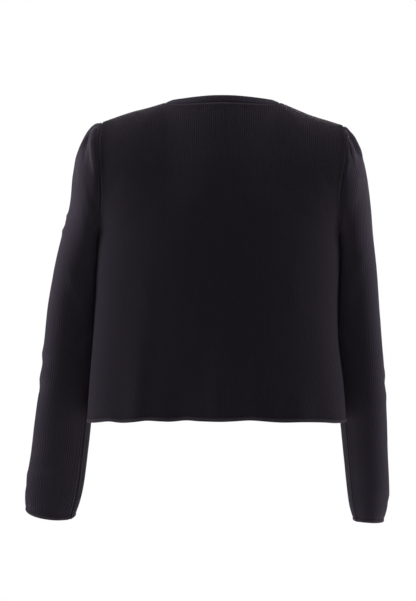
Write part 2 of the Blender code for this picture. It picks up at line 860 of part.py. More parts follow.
def build():
    """Make the cardigan."""
    clear_scene()
    collection = bpy.data.collections.new("cardigan")
    bpy.context.scene.collection.children.link(collection)
    knit = make_material("black_rib_knit", CLOTH_COLOUR, CLOTH_ROUGHNESS)
    band = make_material("black_band_knit", CLOTH_COLOUR, CLOTH_ROUGHNESS)
    plastic = make_material("black_button_plastic", BUTTON_COLOUR, BUTTON_ROUGHNESS)
    add_back(knit, collection)
    add_front("front_left", LEFT, knit, collection)
    add_front("front_right", RIGHT, knit, collection)
    add_sleeve("sleeve_left", LEFT, LEFT_SLEEVE, LEFT_GATHERS, knit, collection)
    add_sleeve("sleeve_right", RIGHT, RIGHT_SLEEVE, RIGHT_GATHERS, knit, collection)
    add_neckband(band, collection)
    add_band("button_band", 0.0, band, collection)
    add_band("buttonhole_band", BAND_LIFT, band, collection)
    add_buttons(plastic, collection)


build()
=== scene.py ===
"""Looks of a cropped cardigan in fine black rib knit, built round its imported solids.

Each piece of cloth is a thin wall laid over the same form as its solid. Its seams, hems and creases
are moved into the wall's points, and Geometry Nodes raise its ribs and lay its stitches. The
garment's front faces -Y, the wearer's left is +X, and the photograph looks along -Y at its back.
"""

import logging
import math
from dataclasses import dataclass, field
from enum import Enum, IntEnum
from typing import NamedTuple, Optional, Sequence, Union

import bmesh
import bpy
import numpy as np
from mathutils import Matrix, Vector

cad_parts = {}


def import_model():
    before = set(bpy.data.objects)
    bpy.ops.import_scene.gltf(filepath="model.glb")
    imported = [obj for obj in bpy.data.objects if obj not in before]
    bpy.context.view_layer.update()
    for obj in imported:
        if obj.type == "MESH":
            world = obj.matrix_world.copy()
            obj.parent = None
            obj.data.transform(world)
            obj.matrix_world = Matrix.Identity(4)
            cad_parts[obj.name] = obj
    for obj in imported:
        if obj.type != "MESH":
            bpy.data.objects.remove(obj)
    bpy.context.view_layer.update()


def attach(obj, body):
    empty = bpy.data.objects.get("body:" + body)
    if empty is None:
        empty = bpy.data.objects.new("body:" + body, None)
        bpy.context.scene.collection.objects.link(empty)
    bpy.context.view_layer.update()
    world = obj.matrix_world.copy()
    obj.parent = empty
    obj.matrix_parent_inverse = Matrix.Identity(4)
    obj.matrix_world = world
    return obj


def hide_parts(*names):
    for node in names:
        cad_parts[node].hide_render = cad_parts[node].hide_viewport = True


LOG = logging.getLogger("cardigan")
MM = 0.001
Array = np.ndarray
Number = Union[float, Array]
Colour = tuple[float, float, float, float]
Point = tuple[float, float, float]
Tree = bpy.types.NodeTree
Socket = bpy.types.NodeSocket
Node = bpy.types.Node
Mesh = bpy.types.Mesh
Piece = bpy.types.Object
Material = bpy.types.Material
Line = tuple[Array, Array]
StitchLine = tuple[Array, Array, bool]


class Face(IntEnum):
    """The half of the body that a panel covers, with the sign of its y."""

    BACK = 1
    FRONT = -1


class Side(IntEnum):
    """The wearer's side, with the sign of its x."""

    LEFT = 1
    RIGHT = -1


class Slot(Enum):
    """The record's material slots."""

    RIB = "black_rib_knit"
    BAND = "black_band_knit"
    BUTTON = "black_button_plastic"


# Smooth curves and tables


def ease(share: Number) -> Number:
    """Rise smoothly from 0 to 1."""
    share = np.clip(share, 0.0, 1.0)
    return share * share * (3 - 2 * share)


def bell(offset: Number, half_width: float) -> Number:
    """Return a soft hump that is 1 at no offset."""
    return np.exp(-((offset / half_width) ** 2))


def read_curve(keys: Sequence[float], values: Sequence[float], at: Number) -> Number:
    """Read a smooth curve through the values at the keys.

    Args:
        keys: Rising or falling keys.
        values: One value for each key.
        at: Where to read.

    Returns:
        The curve's values there.
    """
    keys, values, at = np.asarray(keys, float), np.asarray(values, float), np.asarray(at, float)
    if keys[0] > keys[-1]:
        keys, at = -keys, -at
    at = np.clip(at, keys[0], keys[-1])
    place = np.clip(np.searchsorted(keys, at, side="right") - 1, 0, len(keys) - 2)
    index = np.arange(len(keys))
    before, after = np.maximum(index - 1, 0), np.minimum(index + 1, len(keys) - 1)
    slopes = (values[after] - values[before]) / (keys[after] - keys[before])
    span = keys[place + 1] - keys[place]
    share = (at - keys[place]) / span
    squared, cubed = share**2, share**3
    return (
        (2 * cubed - 3 * squared + 1) * values[place]
        + (cubed - 2 * squared + share) * slopes[place] * span
        + (3 * squared - 2 * cubed) * values[place + 1]
        + (cubed - squared) * slopes[place + 1] * span
    )


@dataclass(frozen=True)
class Table:
    """Rows of sizes under named columns, in millimetres unless the column says otherwise."""

    columns: tuple[str, ...]
    rows: tuple[tuple[float, ...], ...]

    def column(self, name: str) -> Array:
        """Return one column."""
        return np.array([row[self.columns.index(name)] for row in self.rows], float)

    def read(self, key: str, value: str, at: Number) -> Number:
        """Read one column as a smooth curve over another one."""
        return read_curve(self.column(key), self.column(value), at)


BODY_SECTIONS = Table(
    ("z", "left", "right", "back", "front", "side_y"),
    (
        (-29, 182.5, 182.5, 98, 104, 0),
        (-60, 186.5, 186.5, 98, 105, 0),
        (-90, 185.5, 184.5, 99, 106, 1),
        (-125, 182.5, 178, 100, 108, 2),
        (-155, 182.5, 175.5, 101, 110, 4),
        (-197, 186.5, 177, 100, 113, 6),
        (-250, 189.5, 176, 97, 114, 8),
        (-310, 191.5, 173.5, 94, 114, 8),
        (-360, 195.5, 174.5, 92, 113, 8),
        (-410, 199.5, 180.5, 92, 112, 8),
        (-450, 202.5, 184.5, 94, 113, 8),
        (-483.5, 204, 186.5, 97, 115, 8),
    ),
)

SHOULDER_LINE = Table(
    ("share", "left", "right"),
    (
        (0.00, 0, 0),
        (0.25, 7.3, 10),
        (0.50, 13.3, 19.6),
        (0.75, 21, 27.1),
        (1.00, 29.5, 34.5),
    ),
)

# How far the hem dips below its even line.
HEM_WAVES = Table(
    ("x", "back", "front"),
    (
        (-186, 0, 0),
        (-172, 1.4, -1.2),
        (-155, 0.2, 0.3),
        (-122, 0.2, 1.2),
        (-88, 1.6, -0.8),
        (-62, 0.6, 0.9),
        (-40, -0.6, 0.2),
        (-12, 1.2, 0),
        (6, 1.5, 0),
        (35, 0.6, -0.2),
        (54, -0.8, 0.9),
        (79, 0.9, -0.9),
        (113, -1.4, 0.8),
        (131, 0, 1.0),
        (152, 0.9, -0.6),
        (173, -2.2, 1.0),
        (196, 0, 0),
    ),
)

SLEEVE_COLUMNS = (
    "outer_x", "outer_z", "inner_x", "inner_z", "half_depth", "centre_y", "slant", "pitch",
)

LEFT_SLEEVE = Table(
    SLEEVE_COLUMNS,
    (
        (182.8, -29.5, 186.8, -197, 59, 3, 0.0, 0),
        (195.5, -34, 188.5, -200, 62, 2, 0.0, 0),
        (208.5, -49, 188.2, -204, 64, 0, 0.0, 0),
        (220.5, -75, 188, -211, 65, -4, 0.1, 0),
        (227.5, -109, 188, -222, 64, -9, 0.2, 0),
        (232.5, -155, 188, -238, 61, -14, 0.3, 0),
        (244.3, -200, 188.5, -262, 57, -19, 0.4, 0),
        (255.5, -248, 190, -291, 53, -24, 0.5, 0),
        (265.5, -305, 191.5, -331, 49, -31, 0.55, 0),
        (272, -362, 193.5, -382, 45, -37, 0.55, 1),
        (279.6, -430, 198.5, -436, 42, -43, 0.5, 2),
        (287.5, -484, 202.5, -488, 38, -47, 0.4, 2),
        (293, -530, 207.5, -535, 33, -50, 0.3, 3),
        (301, -577, 213, -579, 28, -52, 0.25, 5),
        (303, -603.5, 219, -607, 27, -53, 0.2, 8),
        (301.5, -622, 227.5, -631.5, 27, -54, 0.2, 8.8),
    ),
)

RIGHT_SLEEVE = Table(
    SLEEVE_COLUMNS,
    (
        (182.8, -34.5, 177.3, -197, 59, 3, 0.0, 0),
        (190.5, -41, 177.4, -200, 62, 2, 0.0, 0),
        (200.5, -55, 177, -204, 64, 0, 0.0, 0),
        (211.5, -78, 176.9, -211, 65, -4, 0.1, 0),
        (219.5, -111, 177.5, -222, 64, -9, 0.2, 0),
        (225.5, -155, 176.5, -238, 62, -14, 0.3, 0),
        (229.5, -203, 175, -262, 59, -20, 0.4, 0),
        (235, -253, 173.5, -291, 57, -26, 0.5, 0),
        (239.5, -311, 171.5, -331, 55, -34, 0.55, 0),
        (244.5, -372, 172.5, -378, 52, -41, 0.55, 0),
        (249.5, -430, 176.5, -434, 50, -48, 0.5, 0),
        (252.5, -484, 182.5, -487, 48, -53, 0.4, 0),
        (254.5, -535, 187.5, -537, 45, -57, 0.3, 0),
        (257, -585, 192.5, -586, 42, -60, 0.2, 0),
        (255, -615.5, 196.5, -616.5, 40, -62, 0.1, 0),
        (247.5, -641, 203.5, -639.3, 38, -63, 0.1, 0),
    ),
)


class Fold(NamedTuple):
    """A soft fold of a body panel that rises from the hem, in millimetres."""

    foot_x: float
    head_x: float
    length: float
    height: float
    half_width: float


FOLDS = {
    Face.BACK: (
        Fold(132.5, 116.5, 230, 5.0, 17),
        Fold(66.5, 64.5, 90, -2.5, 20),
        Fold(7.5, 1.5, 190, 4.5, 19),
        Fold(-53.5, -47.5, 110, -2.5, 20),
        Fold(-118.5, -113.5, 90, 4.0, 17),
    ),
    Face.FRONT: (
        Fold(136.5, 124.5, 190, 4.5, 18),
        Fold(76.5, 70.5, 120, 3.0, 17),
        Fold(-65.5, -57.5, 150, 3.5, 18),
        Fold(-125.5, -117.5, 110, 4.0, 17),
    ),
}


class Gather(NamedTuple):
    """A gather at the sleeve head, from one ring angle in degrees and row to another."""

    start_angle: float
    start_row: float
    end_angle: float
    end_row: float
    height: float
    half_width: float


GATHERS = {
    Side.LEFT: (
        Gather(26, 0.9, 98, 0.9, 3.2, 5),
        Gather(30, 1.9, 84, 1.8, -1.6, 5),
        Gather(14, 0.4, 28, 3.4, 3.0, 6),
        Gather(-6, 0.4, -8, 3.0, 2.6, 6),
        Gather(-24, 0.4, -36, 3.3, 3.0, 6),
        Gather(-44, 0.6, -76, 2.0, 3.0, 6),
    ),
    Side.RIGHT: (
        Gather(46, 0.4, 92, 1.1, 2.4, 5),
        Gather(30, 0.3, 56, 2.2, 3.2, 5),
        Gather(12, 0.4, 20, 3.4, 3.0, 6),
        Gather(-8, 0.4, -11, 3.0, 2.6, 6),
        Gather(-27, 0.4, -40, 3.3, 3.0, 6),
        Gather(-47, 0.6, -80, 2.0, 3.0, 6),
    ),
}


# The body's form


@dataclass(frozen=True)
class BodyForm:
    """The garment's form on a general figure, with its sizes in metres."""

    shoulder_tip_z: float = -29 * MM
    armpit_z: float = -197 * MM
    side_hem_z: float = -483.5 * MM
    back_hem_rise: float = 6 * MM
    front_hem_drop: float = 2 * MM
    centre_hem_x: float = 4.5 * MM
    neck_half_width: float = 87.5 * MM
    back_neck_drop: float = 1.5 * MM
    back_neck_dip: float = 1.5 * MM
    front_neck_drop: float = 84 * MM
    front_neck_power: float = 0.6
    shoulder_rounding: float = 167 * MM
    shoulder_power: float = 2.6
    neck_rounding: float = 200 * MM
    neck_power: float = 2.0
    neck_spread: float = 90 * MM
    neck_base_slope: float = 0.35
    back_neck_swell: float = 45 * MM
    section_power: float = 2.5
    armhole_back_depth: float = 60 * MM
    armhole_front_depth: float = 58 * MM
    seam_half_gap: float = 0.15 * MM
    smallest: float = 0.01 * MM

    def section(self, column: str, z: Number) -> Number:
        """Read the body's sections at a height, in metres."""
        return BODY_SECTIONS.read("z", column, np.asarray(z) / MM) * MM

    def centre_x(self, z: Number) -> Number:
        """Return the x of the centre line."""
        length = self.shoulder_tip_z - self.side_hem_z
        return self.centre_hem_x * np.clip((self.shoulder_tip_z - z) / length, 0.0, 1.0)

    def half_width(self, z: Number, side: Number) -> Number:
        """Measure from the centre line to a side edge.

        Args:
            z: The height.
            side: The side's sign.

        Returns:
            The distance.
        """
        centre = self.centre_x(z)
        left, right = self.section("left", z) - centre, self.section("right", z) + centre
        return np.where(np.asarray(side) > 0, left, right)

    def tip_z(self, side: Number) -> Number:
        """Return the height of a shoulder tip."""
        left, right = SHOULDER_LINE.column("left")[-1], SHOULDER_LINE.column("right")[-1]
        return -np.where(np.asarray(side) > 0, left, right) * MM

    def armhole_depth(self, z: Number, side: Number, face: Face) -> Number:
        """Measure how far the armhole's edge lies behind or before the side line.

        Args:
            z: The height.
            side: The side's sign.
            face: The back or the front.

        Returns:
            The distance.
        """
        top = self.tip_z(side)
        middle, half_height = (top + self.armpit_z) / 2, (top - self.armpit_z) / 2
        level = np.clip((z - middle) / half_height, -1.0, 1.0)
        depth = self.armhole_back_depth if face == Face.BACK else self.armhole_front_depth
        return depth * np.sqrt(1 - level**2)

    def neck_share(self) -> float:
        """Return the share of the half width at which the shoulder seam meets the neckband."""
        return float(self.neck_half_width / self.half_width(self.shoulder_tip_z, Side.LEFT))

    def shoulder_drop(self, share: Number, side: Number) -> Number:
        """Read the shoulder seam's drop.

        Args:
            share: The share.
            side: The side's sign.

        Returns:
            The drop.
        """
        along = (share - self.neck_share()) / (1 - self.neck_share())
        left = SHOULDER_LINE.read("share", "left", along)
        right = SHOULDER_LINE.read("share", "right", along)
        return np.where(np.asarray(side) > 0, left, right) * MM

    def top_edge_z(self, across: Number, face: Face) -> Number:
        """Find a panel's top edge: the shoulder seam or the neckline.

        Args:
            across: From -1 at the right side edge to 1 at the left one.
            face: The back or the front.

        Returns:
            The height.
        """
        side, share = np.where(across >= 0, 1, -1), np.abs(across)
        squared = np.clip(1 - (share / self.neck_share()) ** 2, 0.0, 1.0)
        if face == Face.FRONT:
            neck = -self.front_neck_drop * squared**self.front_neck_power
        else:
            dip = 4 * self.back_neck_dip * squared * (1 - squared)
            neck = -self.back_neck_drop * np.sqrt(squared) - dip
        return np.where(share >= self.neck_share(), -self.shoulder_drop(share, side), neck)

    def ridge_z(self, x: Number, side: Number, face: Face) -> Number:
        """Find the form's top, which swells towards the neck.

        Args:
            x: The place across.
            side: The side's sign.
            face: The back or the front.

        Returns:
            The height.
        """
        tip_z = self.tip_z(side)
        share = np.abs(x - self.centre_x(tip_z)) / self.half_width(tip_z, side)
        inside = np.clip(1 - (share / self.neck_share()) ** 2, 0.0, 1.0)
        swell = self.back_neck_swell if face == Face.BACK else 0.0
        under_neck = self.neck_base_slope * self.neck_half_width * inside / 2 + swell * inside**2
        outside = -self.shoulder_drop(np.minimum(share, 1.0), side)
        return np.where(share >= self.neck_share(), outside, under_neck)

    def shoulder_curve(self, drop: Number) -> Number:
        """Return the share of the full depth at a drop below the form's top."""
        reach = np.clip(drop / self.shoulder_rounding, 0.0, 1.0)
        return np.sqrt(1 - (1 - reach) ** self.shoulder_power)

    def neck_curve(self, drop: Number) -> Number:
        """Return the same share under the neck, where the form slopes."""
        reach = np.clip(drop / self.neck_rounding, 0.0, 1.0)
        return 1 - (1 - reach) ** self.neck_power

    def y(self, x: Number, z: Number, face: Face) -> Number:
        """Find the form's surface at a place seen from behind.

        Args:
            x: The place across.
            z: The height.
            face: The back or the front.

        Returns:
            The y.
        """
        offset = x - self.centre_x(z)
        side = np.where(offset >= 0, 1, -1)
        depth = self.section("back" if face == Face.BACK else "front", z)
        drop = self.ridge_z(x, side, face) - z
        neck_part = bell(offset, self.neck_spread)
        curve = neck_part * self.neck_curve(drop) + (1 - neck_part) * self.shoulder_curve(drop)
        tip_z = self.tip_z(side)
        edge_z = np.minimum(z, tip_z - self.smallest)
        edge = self.armhole_depth(edge_z, side, face)
        edge = edge / self.shoulder_curve(tip_z - edge_z) / depth
        power = self.section_power
        edge_share = np.where(z > self.armpit_z, (1 - edge**power) ** (1 / power), 1.0)
        share = np.minimum(np.abs(offset) / self.half_width(z, side), 1.0) * edge_share
        section = (1 - share**power) ** (1 / power)
        return self.section("side_y", z) + face * (depth * section * curve + self.seam_half_gap)

    def hem_z(self, x: Number, across: Number, face: Face) -> Number:
        """Find the gently waved hem.

        Args:
            x: The place across.
            across: The same as a share.
            face: The back or the front.

        Returns:
            The height.
        """
        column = "back" if face == Face.BACK else "front"
        wave = HEM_WAVES.read("x", column, np.asarray(x) / MM) * MM
        wave = wave * (1 - across**8)
        bow = 1 - across**2
        rise = self.back_hem_rise * bow if face == Face.BACK else -self.front_hem_drop * bow
        return self.side_hem_z + rise - wave

    def fold(self, x: Number, rise: Number, face: Face) -> Number:
        """Add up the soft folds of a panel.

        Args:
            x: The place across.
            rise: The height above the hem.
            face: The back or the front.

        Returns:
            How far the cloth is raised.
        """
        total = np.zeros(np.broadcast(x, rise).shape)
        for fold in FOLDS[face]:
            share = rise / (fold.length * MM)
            middle = (fold.foot_x + (fold.head_x - fold.foot_x) * share) * MM
            total += fold.height * MM * (1 - ease(share)) * bell(x - middle, fold.half_width * MM)
        return total

    def side_edge_z(self, down: Number, side: Number) -> Number:
        """Return the height of the side edge that far down."""
        return self.tip_z(side) + down * (self.side_hem_z - self.tip_z(side))

    def point(self, across: Number, down: Number, face: Face) -> Array:
        """Return points of the body's outer surface.

        Args:
            across: From -1 at the right side edge to 1 at the left one.
            down: From 0 at the top edge to 1 at the hem.
            face: The back or the front.

        Returns:
            An array of points, with the coordinates last.
        """
        across, down = np.broadcast_arrays(np.asarray(across, float), np.asarray(down, float))
        side = np.where(across >= 0, 1, -1)
        edge_z = self.side_edge_z(down, side)
        x = self.centre_x(edge_z) + across * self.half_width(edge_z, side)
        top_z, hem_z = self.top_edge_z(across, face), self.hem_z(x, across, face)
        z = top_z + down * (hem_z - top_z)
        y = self.y(x, z, face) + face * self.fold(x, z - hem_z, face) * (1 - across**4)
        return np.stack([x, y, z], axis=-1)


FORM = BodyForm()


# Nodes


def add_node(tree: Tree, kind: str, *inputs: object, **settings: object) -> Node:
    """Add a node to a tree.

    Args:
        tree: The tree.
        kind: The node's type.
        inputs: A value or a socket for each of its inputs in order, or None to leave one.
        settings: Its properties.

    Returns:
        The node.
    """
    node = tree.nodes.new(kind)
    for name, value in settings.items():
        setattr(node, name, value)
    for socket, value in zip([entry for entry in node.inputs if entry.enabled], inputs):
        if isinstance(value, Socket):
            tree.links.new(value, socket)
        elif value is not None:
            socket.default_value = value
    return node


def calculate(tree: Tree, operation: str, *inputs: object) -> Socket:
    """Add a Math node and return what it gives."""
    return add_node(tree, "ShaderNodeMath", *inputs, operation=operation).outputs[0]


@dataclass(frozen=True)
class NodeModifier:
    """A Geometry Nodes tree with the names of its inputs."""

    tree: Tree
    identifiers: dict[str, str]

    def apply(self, mesh: Mesh, name: str, values: dict[str, object]) -> Mesh:
        """Run the tree on a mesh.

        Args:
            mesh: The mesh to start from, which is used up.
            name: The new mesh's name.
            values: The values of the tree's named inputs.

        Returns:
            A plain mesh.
        """
        holder = bpy.data.objects.new(name + "_source", mesh)
        bpy.context.scene.collection.objects.link(holder)
        modifier = holder.modifiers.new(name, "NODES")
        modifier.node_group = self.tree
        for label, value in values.items():
            modifier[self.identifiers[label]] = value
        graph = bpy.context.evaluated_depsgraph_get()
        result = bpy.data.meshes.new_from_object(holder.evaluated_get(graph), depsgraph=graph)
        result.name = name
        bpy.data.objects.remove(holder, do_unlink=True)
        bpy.data.meshes.remove(mesh)
        return result


def start_tree(name: str, sizes: Sequence[str]) -> tuple[Tree, Node, dict[str, str]]:
    """Start a Geometry Nodes tree with a geometry, a material and some named sizes as inputs.

    Args:
        name: The tree's name.
        sizes: The names of its sizes.

    Returns:
        The tree, its inputs' node and the identifier of each named input.
    """
    tree = bpy.data.node_groups.new(name, "GeometryNodeTree")
    tree.interface.new_socket(name="Geometry", in_out="INPUT", socket_type="NodeSocketGeometry")
    identifiers = {}
    for size in sizes:
        socket = tree.interface.new_socket(name=size, in_out="INPUT", socket_type="NodeSocketFloat")
        identifiers[size] = socket.identifier
    socket = tree.interface.new_socket(name="Material", in_out="INPUT",
                                       socket_type="NodeSocketMaterial")
    identifiers["Material"] = socket.identifier
    tree.interface.new_socket(name="Geometry", in_out="OUTPUT", socket_type="NodeSocketGeometry")
    return tree, tree.nodes.new("NodeGroupInput"), identifiers


def end_tree(tree: Tree, geometry: Socket, material: Socket) -> None:
    """End a tree with real geometry, smooth shading and the material.

    Args:
        tree: The tree.
        geometry: What it has made.
        material: The material's input.
    """
    real = add_node(tree, "GeometryNodeRealizeInstances", geometry)
    smooth = add_node(tree, "GeometryNodeSetShadeSmooth", real.outputs[0])
    dressed = add_node(tree, "GeometryNodeSetMaterial", smooth.outputs[0], None, material)
    add_node(tree, "NodeGroupOutput", dressed.outputs[0])


def rib_tree() -> NodeModifier:
    """Build the tree that raises round ribs along the wales of a piece of cloth.

    Returns:
        The tree.
    """
    sizes = ("Rib Height", "Roundness", "Wobble Height", "Wobble Scale")
    tree, given, identifiers = start_tree("raised_ribs", sizes)
    wale = add_node(tree, "GeometryNodeInputNamedAttribute", "wale", data_type="FLOAT")
    weight = add_node(tree, "GeometryNodeInputNamedAttribute", "rib_weight", data_type="FLOAT")
    phase = calculate(tree, "MULTIPLY", calculate(tree, "FRACT", wale.outputs[0]), math.pi)
    crest = calculate(tree, "POWER", calculate(tree, "SINE", phase), given.outputs["Roundness"])
    level = calculate(tree, "SUBTRACT", crest, 0.6)
    level = calculate(tree, "MULTIPLY", level, given.outputs["Rib Height"])
    ribs = calculate(tree, "MULTIPLY", level, weight.outputs[0])
    position = tree.nodes.new("GeometryNodeInputPosition").outputs[0]
    noise = add_node(tree, "ShaderNodeTexNoise", position)
    tree.links.new(given.outputs["Wobble Scale"], noise.inputs["Scale"])
    wobble = calculate(tree, "SUBTRACT", noise.outputs[0], 0.5)
    lift = calculate(tree, "MULTIPLY_ADD", wobble, given.outputs["Wobble Height"], ribs)
    normal = tree.nodes.new("GeometryNodeInputNormal")
    offset = add_node(tree, "ShaderNodeVectorMath", normal.outputs[0], operation="SCALE")
    tree.links.new(lift, offset.inputs["Scale"])
    moved = add_node(tree, "GeometryNodeSetPosition", given.outputs["Geometry"])
    tree.links.new(offset.outputs[0], moved.inputs["Offset"])
    end_tree(tree, moved.outputs[0], given.outputs["Material"])
    return NodeModifier(tree, identifiers)


def stitch_tree() -> NodeModifier:
    """Build the tree that lays stitches along the edges of a mesh, or across them.

    Returns:
        The tree.
    """
    sizes = ("Pitch", "Length", "Thread Radius", "Crosswise")
    tree, given, identifiers = start_tree("laid_stitches", sizes)
    path = add_node(tree, "GeometryNodeMeshToCurve", given.outputs["Geometry"])
    spaced = add_node(tree, "GeometryNodeResampleCurve", path.outputs[0], mode="LENGTH")
    tree.links.new(given.outputs["Pitch"], spaced.inputs["Length"])
    tangent = tree.nodes.new("GeometryNodeInputTangent")
    away = add_node(tree, "GeometryNodeInputNamedAttribute", "away", data_type="FLOAT_VECTOR")
    across = add_node(
        tree, "ShaderNodeVectorMath", tangent.outputs[0], away.outputs[0], operation="CROSS_PRODUCT"
    )
    blend = tree.nodes.new("ShaderNodeMix")
    blend.data_type = "VECTOR"
    factor, first, second = [socket for socket in blend.inputs if socket.enabled]
    tree.links.new(given.outputs["Crosswise"], factor)
    tree.links.new(tangent.outputs[0], first)
    tree.links.new(across.outputs[0], second)
    direction = [socket for socket in blend.outputs if socket.enabled][0]
    turn = add_node(tree, "FunctionNodeAlignRotationToVector", axis="X")
    tree.links.new(direction, turn.inputs["Vector"])
    bead = add_node(tree, "GeometryNodeMeshUVSphere", 6, 4, 1.0)
    half_length = calculate(tree, "MULTIPLY", given.outputs["Length"], 0.5)
    radius = given.outputs["Thread Radius"]
    size = add_node(tree, "ShaderNodeCombineXYZ", half_length, radius, radius)
    thread = add_node(tree, "GeometryNodeTransform", bead.outputs[0])
    tree.links.new(size.outputs[0], thread.inputs["Scale"])
    laid = add_node(tree, "GeometryNodeInstanceOnPoints", spaced.outputs[0])
    tree.links.new(thread.outputs[0], laid.inputs["Instance"])
    tree.links.new(turn.outputs[0], laid.inputs["Rotation"])
    end_tree(tree, laid.outputs[0], given.outputs["Material"])
    return NodeModifier(tree, identifiers)


# Finishes


def new_material(name: str) -> tuple[Material, Tree, Node]:
    """Start a material.

    Args:
        name: Its name.

    Returns:
        The material, its nodes and its shader.
    """
    material = bpy.data.materials.new(name)
    material.use_nodes = True
    return material, material.node_tree, material.node_tree.nodes["Principled BSDF"]


def mix_colours(tree: Tree, share: Socket,
                first: Union[Colour, Socket], second: Colour) -> Socket:
    """Blend two colours.

    Args:
        tree: The material's nodes.
        share: The share of the second colour.
        first: A colour or a socket.
        second: The other colour.

    Returns:
        The blend.
    """
    mix = tree.nodes.new("ShaderNodeMix")
    mix.data_type = "RGBA"
    factor, start, end = [socket for socket in mix.inputs if socket.enabled]
    tree.links.new(share, factor)
    end.default_value = second
    if isinstance(first, Socket):
        tree.links.new(first, start)
    else:
        start.default_value = first
    return [socket for socket in mix.outputs if socket.enabled][0]


def add_bump(tree: Tree, height: Socket, depth: float, strength: float,
             normal: Optional[Socket] = None) -> Socket:
    """Add a Bump node.

    Args:
        tree: The material's nodes.
        height: The height, from 0 to 1.
        depth: What 1 stands for.
        strength: The share of it that shows.
        normal: The normal that it lies on.

    Returns:
        The new normal.
    """
    bump = tree.nodes.new("ShaderNodeBump")
    tree.links.new(height, bump.inputs["Height"])
    bump.inputs["Distance"].default_value = depth
    bump.inputs["Strength"].default_value = strength
    if normal is not None:
        tree.links.new(normal, bump.inputs["Normal"])
    return bump.outputs[0]


@dataclass(frozen=True)
class KnitFinish:
    """Matt black knit: a column of small V stitches on each rib, faint fuzz, uneven dye."""

    name: str
    dark: Colour = (0.0016, 0.0013, 0.0020, 1.0)
    light: Colour = (0.0036, 0.0030, 0.0046, 1.0)
    roughness: float = 0.92
    specular: float = 0.05
    specular_tint: Colour = (0.9, 0.76, 1.0, 1.0)
    sheen: float = 0.045
    sheen_roughness: float = 0.45
    sheen_tint: Colour = (0.80, 0.66, 0.86, 1.0)
    # Painted light: a gain over 1 brightens the colours, sheen and specular for a lighter copy.
    painted_light_gain: float = 1.0
    # Painted highlight: the lighter colour mixed in on lifted seams, hem lips, band edges and
    # raised creases.
    painted_highlight_colour: Colour = (0.0105, 0.0090, 0.0115, 1.0)
    loop_lean: float = 2.6
    loop_reach: float = 0.30
    loop_depth: float = 0.40 * MM
    fuzz_depth: float = 0.25 * MM
    fuzz_scale: float = 1500.0
    dye_scale: float = 22.0

    def loops(self, tree: Tree) -> Socket:
        """Shape the stitches, whose two legs lean together on each rib.

        Args:
            tree: The material's nodes.

        Returns:
            Their height, from 0 to 1.
        """
        cloth = add_node(tree, "ShaderNodeUVMap", uv_map="cloth")
        parts = add_node(tree, "ShaderNodeSeparateXYZ", cloth.outputs[0])
        wale, course = parts.outputs[0], parts.outputs[1]
        aside = calculate(tree, "SUBTRACT", calculate(tree, "FRACT", wale), 0.5)
        aside = calculate(tree, "ABSOLUTE", aside)
        leaning = calculate(tree, "MULTIPLY_ADD", aside, self.loop_lean, course)
        leaning = calculate(tree, "FRACT", leaning)
        leg = calculate(tree, "SINE", calculate(tree, "MULTIPLY", leaning, math.pi))
        split = add_node(tree, "ShaderNodeMapRange", aside, 0.0, 0.06, 0.25, 1.0,
                         interpolation_type="SMOOTHSTEP")
        flank = add_node(tree, "ShaderNodeMapRange", aside, self.loop_reach, 0.42, 1.0, 0.12,
                         interpolation_type="SMOOTHSTEP")
        body = calculate(tree, "MULTIPLY", split.outputs[0], flank.outputs[0])
        depth = add_node(tree, "ShaderNodeAttribute", attribute_name="stitch_depth").outputs["Fac"]
        return calculate(tree, "MULTIPLY", calculate(tree, "MULTIPLY", leg, body), depth)

    def make(self) -> Material:
        """Make the material.

        Returns:
            The material.
        """
        material, tree, shader = new_material(self.name)
        loops = self.loops(tree)
        place = tree.nodes.new("ShaderNodeTexCoord").outputs["Object"]
        fuzz = add_node(tree, "ShaderNodeTexNoise", place, None, self.fuzz_scale, 3.0)
        dye = add_node(tree, "ShaderNodeTexNoise", place, None, self.dye_scale, 4.0)
        normal = add_bump(tree, loops, self.loop_depth, 0.7)
        normal = add_bump(tree, fuzz.outputs[0], self.fuzz_depth, 0.5, normal)
        tree.links.new(normal, shader.inputs["Normal"])
        # Painted shade: the stitch height darkens the colour in the grooves between the legs; dye
        # and fuzz noise add random tone.
        random_tone_and_groove_shade = calculate(tree, "MULTIPLY", dye.outputs[0], 0.7)
        random_tone_and_groove_shade = calculate(tree, "MULTIPLY_ADD", loops, 0.5, random_tone_and_groove_shade)
        random_tone_and_groove_shade = calculate(tree, "SUBTRACT", random_tone_and_groove_shade, 0.2)
        random_tone_and_groove_shade = calculate(tree, "MULTIPLY_ADD", fuzz.outputs[0], 0.3, random_tone_and_groove_shade)
        # Painted light: the gain scales both colours here, and the sheen and specular below, for
        # the lighter copies.
        dark, light = [tuple(level * self.painted_light_gain for level in colour[:3]) + (1.0,)
                       for colour in (self.dark, self.light)]
        # Painted highlight: mix towards the lighter colour where the point attribute is high.
        painted_highlight = add_node(tree, "ShaderNodeAttribute", attribute_name="painted_highlight").outputs["Fac"]
        colour = mix_colours(tree, painted_highlight, mix_colours(tree, random_tone_and_groove_shade, dark, light), self.painted_highlight_colour)
        tree.links.new(colour, shader.inputs["Base Color"])
        rough = calculate(tree, "MULTIPLY_ADD", fuzz.outputs[0], 0.12, self.roughness - 0.06)
        tree.links.new(rough, shader.inputs["Roughness"])
        shader.inputs["Sheen Weight"].default_value = self.sheen * self.painted_light_gain
        shader.inputs["Sheen Roughness"].default_value = self.sheen_roughness
        shader.inputs["Sheen Tint"].default_value = self.sheen_tint
        shader.inputs["Specular IOR Level"].default_value = self.specular * self.painted_light_gain
        shader.inputs["Specular Tint"].default_value = self.specular_tint
        return material


